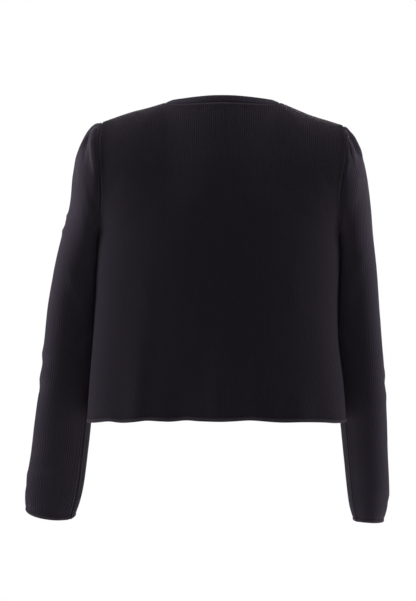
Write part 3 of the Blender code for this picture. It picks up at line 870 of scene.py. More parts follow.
@dataclass(frozen=True)
class ThreadFinish:
    """Black sewing thread, a little glossier than the knit, with its twist."""

    dark: Colour = (0.003, 0.003, 0.0035, 1.0)
    light: Colour = (0.007, 0.0065, 0.008, 1.0)
    roughness: float = 0.65
    specular: float = 0.1
    specular_tint: Colour = (0.9, 0.76, 1.0, 1.0)
    twist_scale: float = 900.0
    twist_depth: float = 0.1 * MM

    def make(self) -> Material:
        """Make the material.

        Returns:
            The material.
        """
        material, tree, shader = new_material("black_thread")
        place = tree.nodes.new("ShaderNodeTexCoord").outputs["Object"]
        twist = add_node(tree, "ShaderNodeTexWave", place, self.twist_scale,
                         bands_direction="DIAGONAL")
        normal = add_bump(tree, twist.outputs[1], self.twist_depth, 0.5)
        tree.links.new(normal, shader.inputs["Normal"])
        # Painted shade: the colour darkens where the twist's bump is low, in its grooves.
        colour = mix_colours(tree, twist.outputs[1], self.dark, self.light)
        tree.links.new(colour, shader.inputs["Base Color"])
        shader.inputs["Roughness"].default_value = self.roughness
        shader.inputs["Specular IOR Level"].default_value = self.specular
        shader.inputs["Specular Tint"].default_value = self.specular_tint
        return material


@dataclass(frozen=True)
class ButtonFinish:
    """Black moulded plastic with faint swirls and fine scuffs."""

    dark: Colour = (0.004, 0.004, 0.005, 1.0)
    light: Colour = (0.010, 0.009, 0.011, 1.0)
    swirl_scale: float = 260.0
    swirl: float = 2.5
    scuff_scale: float = 900.0
    scuff_depth: float = 0.04 * MM
    roughness: float = 0.34
    specular: float = 0.2

    def make(self) -> Material:
        """Make the material.

        Returns:
            The material.
        """
        material, tree, shader = new_material("black_button_plastic_finish")
        place = tree.nodes.new("ShaderNodeTexCoord").outputs["Object"]
        swirl = add_node(tree, "ShaderNodeTexNoise", place, None, self.swirl_scale, 2.0)
        swirl.inputs["Distortion"].default_value = self.swirl
        scuff = add_node(tree, "ShaderNodeTexNoise", place, None, self.scuff_scale, 5.0)
        colour = mix_colours(tree, swirl.outputs[0], self.dark, self.light)
        tree.links.new(colour, shader.inputs["Base Color"])
        rough = calculate(tree, "MULTIPLY_ADD", scuff.outputs[0], 0.25, self.roughness - 0.1)
        tree.links.new(rough, shader.inputs["Roughness"])
        shader.inputs["Specular IOR Level"].default_value = self.specular
        normal = add_bump(tree, scuff.outputs[0], self.scuff_depth, 0.3)
        tree.links.new(normal, shader.inputs["Normal"])
        return material


# Cloth walls


def grid_normals(points: Array, closed: bool) -> Array:
    """Return the unit normals of a grid of points.

    Args:
        points: The grid, row by row.
        closed: Whether its rows are rings.

    Returns:
        The normals; those of rows that crowd at the first one come from a little farther down.
    """
    down = np.gradient(points, axis=0)
    if closed:
        across = (np.roll(points, -1, axis=1) - np.roll(points, 1, axis=1)) / 2
    else:
        across = np.gradient(points, axis=1)
    normals = unit(np.cross(across, down))
    first_clear = np.argmax(lengths_along(points, 0) >= 1 * MM, axis=0)
    rows = np.maximum(np.arange(len(points))[:, None], first_clear[None])
    return np.take_along_axis(normals, rows[..., None], axis=0)


def lengths_along(points: Array, axis: int) -> Array:
    """Measure how far each point lies from the first along a grid.

    Args:
        points: The grid.
        axis: 0 to go down its columns, 1 to go along its rows.

    Returns:
        The distances.
    """
    steps = np.linalg.norm(np.diff(points, axis=axis), axis=-1)
    total = np.cumsum(steps, axis=axis)
    start = np.zeros_like(np.take(total, [0], axis=axis))
    return np.concatenate([start, total], axis=axis)


def unit(vectors: Array) -> Array:
    """Return vectors of length one."""
    return vectors / np.maximum(np.linalg.norm(vectors, axis=-1, keepdims=True), 1e-12)


def without(vectors: Array, ways: Array) -> Array:
    """Take out of the vectors what leans against some unit ways, and make them units again."""
    lean = np.minimum(np.sum(vectors * ways, axis=-1, keepdims=True), 0.0)
    return unit(vectors - ways * lean)


def facing(normals: Array, outward: Array) -> Array:
    """Turn all the normals round if the middle row's lean against the ways out there."""
    return -normals if np.sum(normals[len(normals) // 2] * outward) < 0 else normals


@dataclass
class ClothWall:
    """A wall of cloth: a grid of outer points and one of inner points."""

    outer: Array
    inner: Array
    course: Array
    rib_weight: Array
    # Painted highlight: a share of a lighter colour at each outer point.
    painted_highlight: Array
    closed: bool = False
    inner_stitch: float = 0.8
    least_stitch: float = 0.25
    stitch_gain: float = 2.5

    def mesh(self, name: str) -> Mesh:
        """Join both grids round their edges.

        Args:
            name: The mesh's name.

        Returns:
            The mesh, with its attributes and UVs.
        """
        rows, columns = self.outer.shape[:2]
        fine = SIZES.columns_per_rib
        wales = np.broadcast_to(np.arange(columns) / fine, (rows, columns))
        inner_rows, inner_columns = self.inner.shape[:2]
        outer_index = np.arange(rows * columns).reshape(rows, columns)
        inner_index = np.arange(inner_rows * inner_columns).reshape(inner_rows, inner_columns)
        inner_index = inner_index + rows * columns
        faces = self.grid_faces(outer_index, False) + self.grid_faces(inner_index, True)
        faces += self.end_faces(outer_index[0], inner_index[0], True)
        faces += self.end_faces(outer_index[-1], inner_index[-1], False)
        if not self.closed:
            faces += self.side_faces(outer_index[:, 0], inner_index[:, 0], False)
            faces += self.side_faces(outer_index[:, -1], inner_index[:, -1], True)
        points = np.concatenate([self.outer.reshape(-1, 3), self.inner.reshape(-1, 3)])
        mesh = bpy.data.meshes.new(name)
        mesh.from_pydata(points.tolist(), [], faces)
        wale = np.concatenate([wales.ravel(), wales[:, ::fine].ravel()])
        course = np.concatenate([self.course.ravel(), self.course[:, ::fine].ravel()])
        bare = np.zeros(inner_index.size)
        stitch = np.clip(self.rib_weight.ravel() * self.stitch_gain, self.least_stitch, 1.0)
        attributes = {
            "wale": wale,
            "rib_weight": np.concatenate([self.rib_weight.ravel(), bare]),
            "stitch_depth": np.concatenate([stitch, bare + self.inner_stitch]),
            # The painted highlight share; inner points get none.
            "painted_highlight": np.concatenate([np.clip(self.painted_highlight, 0.0, 1.0).ravel(), bare]),
        }
        for label, values in attributes.items():
            attribute = mesh.attributes.new(label, "FLOAT", "POINT")
            attribute.data.foreach_set("value", values.astype(np.float32))
        corners = np.empty(len(mesh.loops), dtype=np.int32)
        mesh.loops.foreach_get("vertex_index", corners)
        places = np.stack([wale[corners], course[corners]], axis=-1)
        if self.closed:
            self.mend_seam(mesh, places, float(wales.max()))
        layer = mesh.uv_layers.new(name="cloth")
        layer.data.foreach_set("uv", places.astype(np.float32).ravel())
        self.face_outwards(mesh)
        return mesh

    def face_outwards(self, mesh: Mesh) -> None:
        """Turn every face outwards.

        Args:
            mesh: The mesh.
        """
        whole = bmesh.new()
        whole.from_mesh(mesh)
        bmesh.ops.recalc_face_normals(whole, faces=whole.faces)
        whole.to_mesh(mesh)
        whole.free()

    @staticmethod
    def mend_seam(mesh: Mesh, places: Array, last: float) -> None:
        """Carry the wale count on over the place where a closed ring starts again.

        Args:
            mesh: The mesh.
            places: The wale and course at each corner.
            last: The last wale.
        """
        starts = np.empty(len(mesh.polygons), dtype=np.int32)
        totals = np.empty(len(mesh.polygons), dtype=np.int32)
        mesh.polygons.foreach_get("loop_start", starts)
        mesh.polygons.foreach_get("loop_total", totals)
        for start, total in zip(starts, totals):
            corner = slice(start, start + total)
            wales = places[corner, 0]
            if wales.max() - wales.min() > last / 2:
                wales[wales < last / 2] += round(last)

    def grid_faces(self, index: Array, flipped: bool) -> list[list[int]]:
        """List the faces of a grid.

        Args:
            index: The grid's points.
            flipped: Whether they face the other way.

        Returns:
            The faces.
        """
        following = np.roll(index, -1, axis=1) if self.closed else index[:, 1:]
        current = index if self.closed else index[:, :-1]
        corners = [current[:-1], current[1:], following[1:], following[:-1]]
        quads = np.stack(corners, axis=-1).reshape(-1, 4)
        return (quads[:, ::-1] if flipped else quads).tolist()

    def end_faces(self, outer: Array, inner: Array, flipped: bool) -> list[list[int]]:
        """List the faces between an outer and an inner row.

        Args:
            outer: The outer row.
            inner: The inner row.
            flipped: Whether they face the other way.

        Returns:
            The faces.
        """
        faces, fine = [], SIZES.columns_per_rib
        for span in range(len(inner) if self.closed else len(inner) - 1):
            near, far = inner[span], inner[(span + 1) % len(inner)]
            face = [int(outer[(span * fine + step) % len(outer)]) for step in range(fine + 1)]
            face += [int(far), int(near)]
            faces.append(face[::-1] if flipped else face)
        return faces

    @staticmethod
    def side_faces(outer: Array, inner: Array, flipped: bool) -> list[list[int]]:
        """List the faces between an outer and an inner side column."""
        quads = np.stack([outer[:-1], outer[1:], inner[1:], inner[:-1]], axis=-1)
        return (quads[:, ::-1] if flipped else quads).tolist()


@dataclass(frozen=True)
class ClothSizes:
    """Sizes that every piece of cloth shares, in metres."""

    wall: float = 1.9 * MM
    rib_pitch: float = 3.15 * MM
    rib_height: float = 0.6 * MM
    rib_roundness: float = 0.7
    rib_start: float = 0.6 * MM
    rib_end: float = 0.3 * MM
    stitched_rib_loss: float = 0.7
    course_pitch: float = 1.35 * MM
    columns_per_rib: int = 4
    seam_depth: float = 0.9 * MM
    seam_width: float = 0.9 * MM
    seam_ridge: float = 1.1 * MM
    seam_ridge_place: float = 2.6 * MM
    seam_ridge_width: float = 1.5 * MM
    allowance_ridge: float = 0.35 * MM
    allowance_place: float = 6.4 * MM
    tuck: float = 0.9 * MM
    tuck_depth: float = 0.7 * MM
    tuck_width: float = 0.8 * MM
    hem_width: float = 6.0 * MM
    hem_lip: float = 0.75 * MM
    hem_lip_place: float = 2.6 * MM
    hem_lip_width: float = 1.7 * MM
    hem_lift: float = 0.3 * MM
    hem_groove: float = 0.5 * MM
    hem_groove_width: float = 0.8 * MM
    hem_step: float = 1.2 * MM
    edge_rounding: float = 1.1 * MM
    edge_thinning: float = 0.5
    thread_lift: float = 0.15 * MM
    rib_fade: float = 2.0 * MM
    crease_fade: float = 8.0 * MM
    wobble_height: float = 0.9 * MM
    wobble_scale: float = 24.0


SIZES = ClothSizes()

# How far the rows nearest a seam and a hem lie from it along the cloth, in millimetres.
SEAM_ROWS = (0, 0.5, 1.1, 1.9, 2.9, 4.2, 6.0, 8.5)
HEM_ROWS = (12, 9, 7.4, 6.5, 6.0, 5.6, 5.2, 4.6, 3.4, 2.0, 0.9, 0.4, 0.1, 0)


def seam_relief(distance: Array) -> Array:
    """Dip the cloth into a seam and raise it over the allowance turned in beside it.

    Args:
        distance: The distance from the seam.

    Returns:
        How far the cloth is raised.
    """
    ridge = SIZES.seam_ridge * bell(distance - SIZES.seam_ridge_place, SIZES.seam_ridge_width)
    edge = SIZES.allowance_ridge * bell(distance - SIZES.allowance_place, SIZES.seam_ridge_width)
    return ridge + edge - SIZES.seam_depth * bell(distance, SIZES.seam_width)


def edge_drop(rise: Array) -> Array:
    """Return how far the cloth turns in at a folded edge."""
    edge = np.clip(1 - rise / SIZES.edge_rounding, 0.0, 1.0)
    return SIZES.edge_rounding * (1 - np.sqrt(1 - edge**2))


def hem_relief(rise: Array) -> Array:
    """Raise a turned hem below its line of stitches, with a lip at its fold.

    Args:
        rise: The distance from the hem.

    Returns:
        How far the cloth is raised.
    """
    lift = SIZES.hem_lift * (1 - ease((rise - SIZES.hem_width) / SIZES.hem_step + 1 / 3))
    lip = SIZES.hem_lip * bell(rise - SIZES.hem_lip_place, SIZES.hem_lip_width)
    groove = SIZES.hem_groove * bell(rise - SIZES.hem_width, SIZES.hem_groove_width)
    return lift + lip - groove - edge_drop(rise)


def seam_highlight(distance: Array) -> Array:
    """Return the share of painted highlight on the lifted cloth beside a seam."""
    return bell(distance - SIZES.seam_ridge_place, SIZES.seam_ridge_width)


def hem_highlight(rise: Array) -> Array:
    """Return the share of painted highlight on the lip of a hem."""
    return bell(rise - SIZES.hem_lip_place, SIZES.hem_lip_width)


def tucked(distance: Array) -> Array:
    """Return the share of the tuck that runs under the next piece at a seam."""
    return bell(distance, SIZES.tuck_width)


def rib_weight(seam: Array, rise: Array) -> Array:
    """Return how high the ribs stand: less beside a seam, at a hem's fold and under its stitches.

    Args:
        seam: The distance from a seam.
        rise: The distance from the hem.

    Returns:
        Shares of the ribs' full height.
    """
    weight = ease((seam - SIZES.rib_start) / SIZES.rib_fade)
    weight = weight * ease((rise - SIZES.rib_end) / SIZES.rib_fade)
    stitched = bell(rise - SIZES.hem_width, SIZES.hem_groove_width)
    return weight * (1 - SIZES.stitched_rib_loss * stitched)


def inner_points(points: Array, ways: Array, rise: Array) -> Array:
    """Return a wall's inner points, which draw near the outer ones at the hem's fold."""
    return points - ways * (SIZES.wall - SIZES.edge_thinning * edge_drop(rise))[..., None]


class Stitch(NamedTuple):
    """A kind of stitch: how far apart, how long and how thick, and whether across its line."""

    pitch: float
    length: float
    radius: float
    crosswise: float = 0.0


HEM_STITCH = Stitch(3.15 * MM, 1.9 * MM, 0.28 * MM)
CUFF_STITCH = Stitch(3.0 * MM, 1.8 * MM, 0.28 * MM)
BAND_STITCH = Stitch(2.6 * MM, 1.9 * MM, 0.22 * MM)
BUTTON_THREAD = Stitch(0.24 * MM, 0.42 * MM, 0.22 * MM)
BUTTONHOLE_STITCH = Stitch(0.42 * MM, 1.5 * MM, 0.2 * MM, 1.0)


class Crease(NamedTuple):
    """A soft ridge, or a trough if its height is negative, through places in millimetres."""

    height: float
    half_width: float
    places: tuple[tuple[float, float], ...]


# The places are (x, z), as seen from behind.
BODY_CREASES = {
    Face.BACK: (
        Crease(-0.5, 4, ((33, -4), (31, -22))),
        Crease(-0.5, 4, ((-30, -4), (-33, -20))),
        Crease(0.9, 9, ((170, -192), (146, -170), (114, -150))),
        Crease(0.8, 9, ((-162, -190), (-138, -166), (-108, -146))),
        Crease(-0.7, 8, ((174, -156), (164, -126), (148, -98))),
        Crease(-0.7, 8, ((-168, -154), (-158, -124), (-144, -100))),
        Crease(0.7, 7, ((90, -6), (112, -22), (132, -48))),
        Crease(0.7, 7, ((-90, -8), (-108, -24), (-126, -52))),
        Crease(0.8, 12, ((122, -250), (114, -290), (106, -340))),
        Crease(0.8, 12, ((-102, -240), (-108, -290), (-114, -340))),
        Crease(0.7, 10, ((42, -290), (38, -340), (33, -400))),
        Crease(0.6, 9, ((-30, -320), (-33, -370), (-34, -430))),
    ),
    Face.FRONT: (
        Crease(1.1, 10, ((166, -188), (142, -166), (108, -138))),
        Crease(1.1, 10, ((-160, -186), (-136, -162), (-104, -136))),
        Crease(-0.8, 8, ((172, -150), (158, -118), (138, -82))),
        Crease(-0.8, 8, ((-168, -150), (-154, -118), (-136, -84))),
        Crease(0.8, 7, ((94, -10), (110, -34), (124, -64))),
        Crease(0.8, 7, ((-94, -12), (-108, -38), (-122, -66))),
        Crease(0.9, 13, ((98, -220), (106, -280), (114, -340))),
        Crease(0.9, 13, ((-106, -230), (-100, -290), (-94, -350))),
        Crease(0.7, 10, ((50, -240), (44, -310), (38, -370))),
        Crease(0.7, 10, ((-48, -270), (-43, -330), (-38, -400))),
    ),
}

# The places are (x, z) on the back and front halves of each sleeve's head.
HEAD_CREASES = {
    (Side.LEFT, Face.BACK): (
        Crease(-4.2, 3.2, ((199.5, -37), (204.5, -50), (208, -68), (208, -98))),
        Crease(2.8, 2.2, ((194, -42), (198.5, -51), (197.5, -68), (194, -94), (189.5, -121))),
        Crease(-2.2, 1.9, ((192.5, -52), (191.5, -74), (189.5, -100))),
        Crease(1.6, 2.0, ((199, -46), (194, -41), (188, -42))),
        Crease(-1.0, 5.0, ((204, -112), (198, -140), (193, -166))),
        Crease(1.2, 6.0, ((217, -70), (218, -100), (215, -136))),
    ),
    (Side.RIGHT, Face.BACK): (
        Crease(-4.2, 3.0, ((-184, -40), (-190, -50), (-197, -62), (-204, -76), (-208, -92))),
        Crease(2.6, 2.6, ((-184, -48), (-189, -58), (-193, -68), (-198, -84), (-201, -108))),
        Crease(1.6, 3.0, ((-190, -42), (-200, -54), (-208, -70), (-213, -88))),
        Crease(-1.8, 2.2, ((-185, -62), (-186, -86), (-184, -108))),
        Crease(1.0, 6.0, ((-204, -110), (-202, -136), (-197, -162))),
    ),
    (Side.LEFT, Face.FRONT): (
        Crease(-3.4, 3.2, ((193, -36), (199, -50), (203, -68), (205, -92))),
        Crease(2.4, 2.8, ((192, -46), (196, -62), (196, -84), (193, -110))),
        Crease(-1.8, 2.4, ((189, -58), (190, -78), (189, -100))),
        Crease(1.0, 4.0, ((208, -52), (213, -74), (214, -104))),
        Crease(-0.8, 5.0, ((206, -108), (200, -136), (194, -162))),
    ),
    (Side.RIGHT, Face.FRONT): (
        Crease(-3.4, 3.2, ((-187, -40), (-193, -54), (-198, -72), (-200, -96))),
        Crease(2.4, 2.8, ((-184, -52), (-189, -68), (-190, -90), (-187, -114))),
        Crease(-1.8, 2.4, ((-181, -66), (-182, -86), (-181, -106))),
        Crease(1.0, 4.0, ((-201, -58), (-207, -80), (-208, -108))),
        Crease(-0.8, 5.0, ((-198, -112), (-192, -138), (-186, -164))),
    ),
}

# The places are (degrees round the arm from its outer line towards the back, z).
ARM_CREASES = {
    Side.LEFT: (
        Crease(1.7, 3.6, ((-30, -168), (0, -172), (34, -184))),
        Crease(1.5, 3.6, ((-26, -186), (4, -192), (40, -208))),
        Crease(-0.7, 4.0, ((-24, -176), (2, -180), (34, -194))),
        Crease(1.3, 7.0, ((-70, -352), (-20, -372), (40, -386), (96, -380))),
        Crease(-1.1, 6.0, ((-60, -372), (-10, -392), (50, -404), (90, -398))),
        Crease(1.2, 7.0, ((-64, -398), (-16, -412), (36, -424), (84, -430))),
        Crease(-0.9, 6.0, ((-40, -424), (6, -436), (60, -446))),
        Crease(1.0, 8.0, ((180, -330), (130, -352), (96, -384))),
        Crease(0.9, 8.0, ((-178, -340), (-128, -360), (-90, -392))),
        Crease(0.8, 8.0, ((60, -250), (96, -292), (120, -330))),
        Crease(0.9, 9.0, ((-60, -240), (-96, -286), (-124, -330))),
        Crease(0.9, 5.0, ((-44, -560), (6, -566), (60, -560), (110, -570))),
        Crease(-0.8, 5.0, ((-50, -578), (0, -584), (56, -578), (100, -586))),
        Crease(0.8, 5.0, ((-150, -556), (-100, -566), (-60, -560))),
    ),
    Side.RIGHT: (
        Crease(1.0, 5.0, ((-30, -396), (0, -410), (44, -414), (84, -406))),
        Crease(-1.0, 5.0, ((-30, -414), (2, -426), (46, -430), (80, -424))),
        Crease(1.0, 6.0, ((-26, -436), (6, -446), (52, -450))),
        Crease(1.0, 9.0, ((180, -320), (132, -346), (98, -380))),
        Crease(0.9, 9.0, ((-178, -330), (-130, -352), (-92, -390))),
        Crease(0.8, 9.0, ((52, -220), (88, -262), (116, -312))),
        Crease(0.9, 9.0, ((-58, -230), (-94, -276), (-120, -320))),
        Crease(0.8, 5.0, ((-60, -590), (-6, -598), (50, -592), (104, -600))),
        Crease(-0.7, 5.0, ((-54, -606), (0, -612), (52, -606), (96, -612))),
    ),
}


def crease_relief(creases: Sequence[Crease], first: Array, second: Array) -> Array:
    """Add up some creases.

    Args:
        creases: The creases.
        first: Each point's first coordinate, in the metres of the creases' places.
        second: Its second coordinate.

    Returns:
        How far each point is raised.
    """
    total = np.zeros(np.broadcast(first, second).shape)
    for crease in creases:
        places = np.array(crease.places) * MM
        share = np.linspace(0, 1, len(places))
        fine = np.linspace(0, 1, 4 * len(places))
        line = np.stack([read_curve(share, places[:, axis], fine) for axis in (0, 1)], axis=-1)
        nearest, progress = np.full(total.shape, np.inf), np.zeros(total.shape)
        for step, (start, end) in enumerate(zip(line, line[1:])):
            run = end - start
            along = ((first - start[0]) * run[0] + (second - start[1]) * run[1]) / (run @ run)
            along = np.clip(along, 0, 1)
            away = np.hypot(first - start[0] - along * run[0], second - start[1] - along * run[1])
            progress = np.where(away < nearest, (step + along) / (len(line) - 1), progress)
            nearest = np.minimum(nearest, away)
        ends = ease(progress / 0.3) * (1 - ease((progress - 0.65) / 0.35))
        total += crease.height * MM * ends * bell(nearest, crease.half_width * MM)
    return total


@dataclass
class Wardrobe:
    """What every sub-assembly needs: the trees, the finishes and the way to hand a piece in."""

    ribs: NodeModifier
    stitches: NodeModifier
    rib_knit: Material
    front_knit: Material
    sleeve_knit: Material
    band_knit: Material
    thread: Material
    plastic: Material

    @classmethod
    def make(cls) -> "Wardrobe":
        """Build the trees and finishes.

        Returns:
            The wardrobe.
        """
        return cls(
            ribs=rib_tree(),
            stitches=stitch_tree(),
            rib_knit=KnitFinish("rib_knit_finish").make(),
            # Lighter copies of the back's knit for the fronts, sleeves and bands: painted light.
            front_knit=KnitFinish("front_knit_finish", painted_light_gain=1.5).make(),
            sleeve_knit=KnitFinish("sleeve_knit_finish", painted_light_gain=1.75).make(),
            band_knit=KnitFinish("band_knit_finish", painted_light_gain=1.6).make(),
            thread=ThreadFinish().make(),
            plastic=ButtonFinish().make(),
        )

    def hand_in(self, mesh: Mesh, name: str,
                replaces: Sequence[str] = ()) -> Piece:
        """Link a finished mesh as a piece that rides on the garment.

        Args:
            mesh: The finished mesh.
            name: The piece's name.
            replaces: The solids that it stands for.

        Returns:
            The piece.
        """
        piece = bpy.data.objects.new(name, mesh)
        bpy.context.scene.collection.objects.link(piece)
        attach(piece, "root")
        if replaces:
            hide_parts(*replaces)
        LOG.info("%s: %d faces", name, len(mesh.polygons))
        return piece

    def knitted(self, wall: ClothWall, name: str, knit: Material, node: str,
                rib_height: float = SIZES.rib_height) -> Piece:
        """Raise the ribs of a wall and hand it in.

        Args:
            wall: The wall of cloth.
            name: The piece's name.
            knit: Its finish.
            node: The solid that the piece stands for.
            rib_height: How high its ribs stand.

        Returns:
            The piece.
        """
        values = {"Rib Height": rib_height, "Roundness": SIZES.rib_roundness, "Material": knit,
                  "Wobble Height": SIZES.wobble_height, "Wobble Scale": SIZES.wobble_scale}
        return self.hand_in(self.ribs.apply(wall.mesh(name), name, values), name, [node])

    def sew(self, lines: Sequence[StitchLine], name: str, stitch: Stitch, slot: Slot) -> None:
        """Lay stitches along some lines and hand them in.

        Args:
            lines: The points of each line, the ways out of the cloth there, and whether it closes.
            name: The piece's name.
            stitch: The kind of stitch.
            slot: The record's slot for the thread; not used.
        """
        points, edges, away = [], [], []
        for line, ways, closes in lines:
            base = len(points)
            points += line.tolist()
            away += ways.tolist()
            edges += [(base + step, base + step + 1) for step in range(len(line) - 1)]
            if closes:
                edges.append((base + len(line) - 1, base))
        mesh = bpy.data.meshes.new(name)
        mesh.from_pydata(points, edges, [])
        attribute = mesh.attributes.new("away", "FLOAT_VECTOR", "POINT")
        attribute.data.foreach_set("vector", np.array(away, np.float32).ravel())
        values = {"Pitch": stitch.pitch, "Length": stitch.length, "Thread Radius": stitch.radius,
                  "Crosswise": stitch.crosswise, "Material": self.thread}
        self.hand_in(self.stitches.apply(mesh, name, values), name)


# Panels of the body


@dataclass
class Cloth:
    """A piece of cloth, with what it measures and where its stitches lie once it is built."""

    length: float = field(default=0.0, init=False)
    area: float = field(default=0.0, init=False)
    stitch_lines: list[Line] = field(default_factory=list, init=False)

    def keep_hem(self, outer: Array, normals: Array, rise: Array, column: int) -> None:
        """Keep the line where the hem's stitches lie.

        Args:
            outer: The grid of outer points.
            normals: Their normals.
            rise: Their distance from the hem along the cloth.
            column: The column that the line's row is measured on.
        """
        row = int(np.argmin(np.abs(rise[:, column] - SIZES.hem_width)))
        inside = slice(SIZES.columns_per_rib // 2, None, SIZES.columns_per_rib)
        ways = normals[row, inside]
        self.stitch_lines.append((outer[row, inside] + ways * SIZES.thread_lift, ways))


@dataclass
class Panel(Cloth):
    """A wide piece of cloth, whose flat width is measured too."""

    width: float = field(default=0.0, init=False)

    def measure(self, name: str, down: Array, across: Array) -> None:
        """Keep the flat size and the area, and report them.

        Args:
            name: The piece's name.
            down: Each point's distance from the first row along the cloth.
            across: Its distance from the first column.
        """
        self.width, self.length = float(across[:, -1].max()), float(down[-1].max())
        steps = np.diff(across, axis=1)
        self.area = float(np.sum(np.diff(down, axis=0)[:, :steps.shape[1]] * steps[:-1]))
        LOG.info("%s: %.3f x %.3f m, area %.4f", name, self.width, self.length, self.area)


def row_depths(rounding: float, length: float, step: float) -> Array:
    """List how far down a panel each row lies.

    Args:
        rounding: The height over which the form rounds over at its top.
        length: The height of the whole panel.
        step: The distance between rows along the cloth.

    Returns:
        Shares of the length, from 0 to 1, closer together at the seam and at the hem.
    """
    near_seam, near_hem = np.array(SEAM_ROWS) * MM, np.array(HEM_ROWS) * MM
    arcs = np.concatenate([near_seam, np.arange(near_hem[0], rounding * math.pi / 2, step)])
    drops = rounding * (1 - np.cos(arcs / rounding))
    straight = np.arange(rounding + step / 2, length - near_hem[0] - step / 2, step)
    return np.concatenate([drops, straight, length - near_hem]) / length


@dataclass
class BodyPanel(Panel):
    """A panel of the body between two shares of its width."""

    face: Face
    node: str
    start: float
    end: float
    first_offset: Optional[float] = None
    first_offset_fade: float = 0.25
    row_step: float = 6.0 * MM
    measured_row: float = 0.6
    seam_pull_ribs: int = 14
    band_lift: float = 0.0
    band_lift_fade: float = 45 * MM
    band_half_width: float = 12.5 * MM
    lower_rib_loss: float = 0.6
    rib_loss_start: float = 50 * MM
    rib_loss_length: float = 130 * MM
    seam_reach: float = 1 * MM
    centre_reach: float = 100 * MM

    def rows(self) -> Array:
        """List the panel's rows."""
        rounding = FORM.shoulder_tip_z - FORM.armpit_z
        return row_depths(rounding, FORM.shoulder_tip_z - FORM.side_hem_z, self.row_step)

    def columns(self) -> Array:
        """Spread the panel's columns evenly over the cloth, a whole number of ribs wide.

        Returns:
            A share of the half width for each column.
        """
        dense = np.linspace(self.start, self.end, 2001)
        along = lengths_along(FORM.point(dense, self.measured_row, self.face)[None], 1)[0]
        ribs = round(along[-1] / SIZES.rib_pitch)
        even = np.linspace(0, along[-1], ribs * SIZES.columns_per_rib + 1)
        return self.with_seam_columns(np.interp(even, along, dense))

    def with_seam_columns(self, shares: Array) -> Array:
        """Move columns gently, so that one lies just where the seam is at each neck point.

        Args:
            shares: The evenly spread columns.

        Returns:
            As many columns.
        """
        for side in (-1, 1):
            target = side * FORM.neck_share()
            if min(self.start, self.end) < target < max(self.start, self.end):
                place = int(np.argmin(np.abs(shares - target)))
                spread = SIZES.columns_per_rib * self.seam_pull_ribs
                near = np.arange(max(place - spread, 1), min(place + spread, len(shares) - 1))
                pull = 1 - ease(np.abs(near - place) / (spread + 1))
                shares[near] += (target - shares[place]) * pull
        return shares

    def surface(self) -> Array:
        """Lay out the panel.

        Returns:
            The grid of smooth outer points.
        """
        down = self.rows()[:, None]
        shares = self.columns()[None]
        points = FORM.point(shares, down, self.face)
        if self.first_offset is not None:
            side = 1 if self.end > 0 else -1
            first = self.first_offset / FORM.half_width(FORM.side_edge_z(down, side), side)
            fade = 1 - ease(np.abs(shares - self.start) / self.first_offset_fade)
            points = FORM.point(shares + (side * first - self.start) * fade, down, self.face)
        if self.band_lift:
            middle = FORM.point(0.0, down, self.face)[..., 0]
            away = np.abs(points[..., 0] - middle) - self.band_half_width
            points[..., 1] -= self.band_lift * (1 - ease(away / self.band_lift_fade))
        return points

    def build(self, wardrobe: Wardrobe, name: str) -> Piece:
        """Build the panel and hand it in.

        Args:
            wardrobe: The trees and finishes.
            name: The piece's name.

        Returns:
            The piece.
        """
        points = self.surface()
        normals = facing(grid_normals(points, False), np.array([0.0, float(self.face), 0.0]))
        down, across = lengths_along(points, 0), lengths_along(points, 1)
        rise, from_end = down[-1] - down, across[:, -1:] - across
        seam = np.minimum(np.minimum(across, from_end), down)
        creases = crease_relief(BODY_CREASES[self.face], points[..., 0], points[..., 2])
        creases *= ease(seam / SIZES.crease_fade)
        points = points + normals * creases[..., None]
        relief = seam_relief(seam) + hem_relief(rise)
        below = -points[..., 2] - self.rib_loss_start
        weight = rib_weight(seam, rise)
        weight *= 1 - self.lower_rib_loss * ease(below / self.rib_loss_length)
        if self.face == Face.FRONT:
            outside = tucked(down) * (np.abs(points[:1, :, 1]) < self.seam_reach)
            outside = np.maximum(outside, tucked(from_end) * (down > self.seam_reach))
            points[..., 1] += SIZES.tuck * outside
            relief -= SIZES.tuck_depth * outside
        outer = points + normals * relief[..., None]
        inside = (slice(None), slice(None, None, SIZES.columns_per_rib))
        ways = normals[inside].copy()
        self.keep_own_side(ways, points[inside])
        inner = inner_points(points[inside], ways, rise[inside])
        # Painted highlight on the ridge beside each seam and on the hem's lip.
        painted_highlight = seam_highlight(seam) + hem_highlight(rise)
        wall = ClothWall(outer, inner, -rise / SIZES.course_pitch, weight, painted_highlight)
        # The fronts use the lighter copy of the knit, which is painted light.
        knit = wardrobe.rib_knit if self.face == Face.BACK else wardrobe.front_knit
        piece = wardrobe.knitted(wall, name, knit, self.node)
        self.measure(name, down, across)
        self.keep_hem(outer, normals, rise, rise.shape[1] // 2)
        return piece

    def keep_own_side(self, ways: Array, points: Array) -> None:
        """Keep the wall from leaning over the side, armhole and shoulder seams.

        Args:
            ways: The ways out of the wall at its inner columns, which are changed.
            points: The outer points there.
        """
        other = np.array([0.0, -float(self.face), 0.0])
        seam_top = np.abs(points[0, :, 1]) < self.seam_reach
        ways[0, seam_top] = without(ways[0, seam_top], other)
        for column in (0, -1):
            edge = points[:, column]
            if np.abs(edge[-1, 0]) < self.centre_reach:
                sideways = np.array([math.copysign(1.0, self.end if self.end else 1.0), 0.0, 0.0])
                ways[:, column] = without(ways[:, column], -sideways)
                continue
            along = unit(np.gradient(edge, axis=0))
            outwards = np.array([math.copysign(1.0, edge[-1, 0]), 0.0, 0.0])
            across = unit(outwards - along * np.sum(along * outwards, axis=-1, keepdims=True))
            ways[:, column] = without(without(ways[:, column], across), other)


# Sleeves


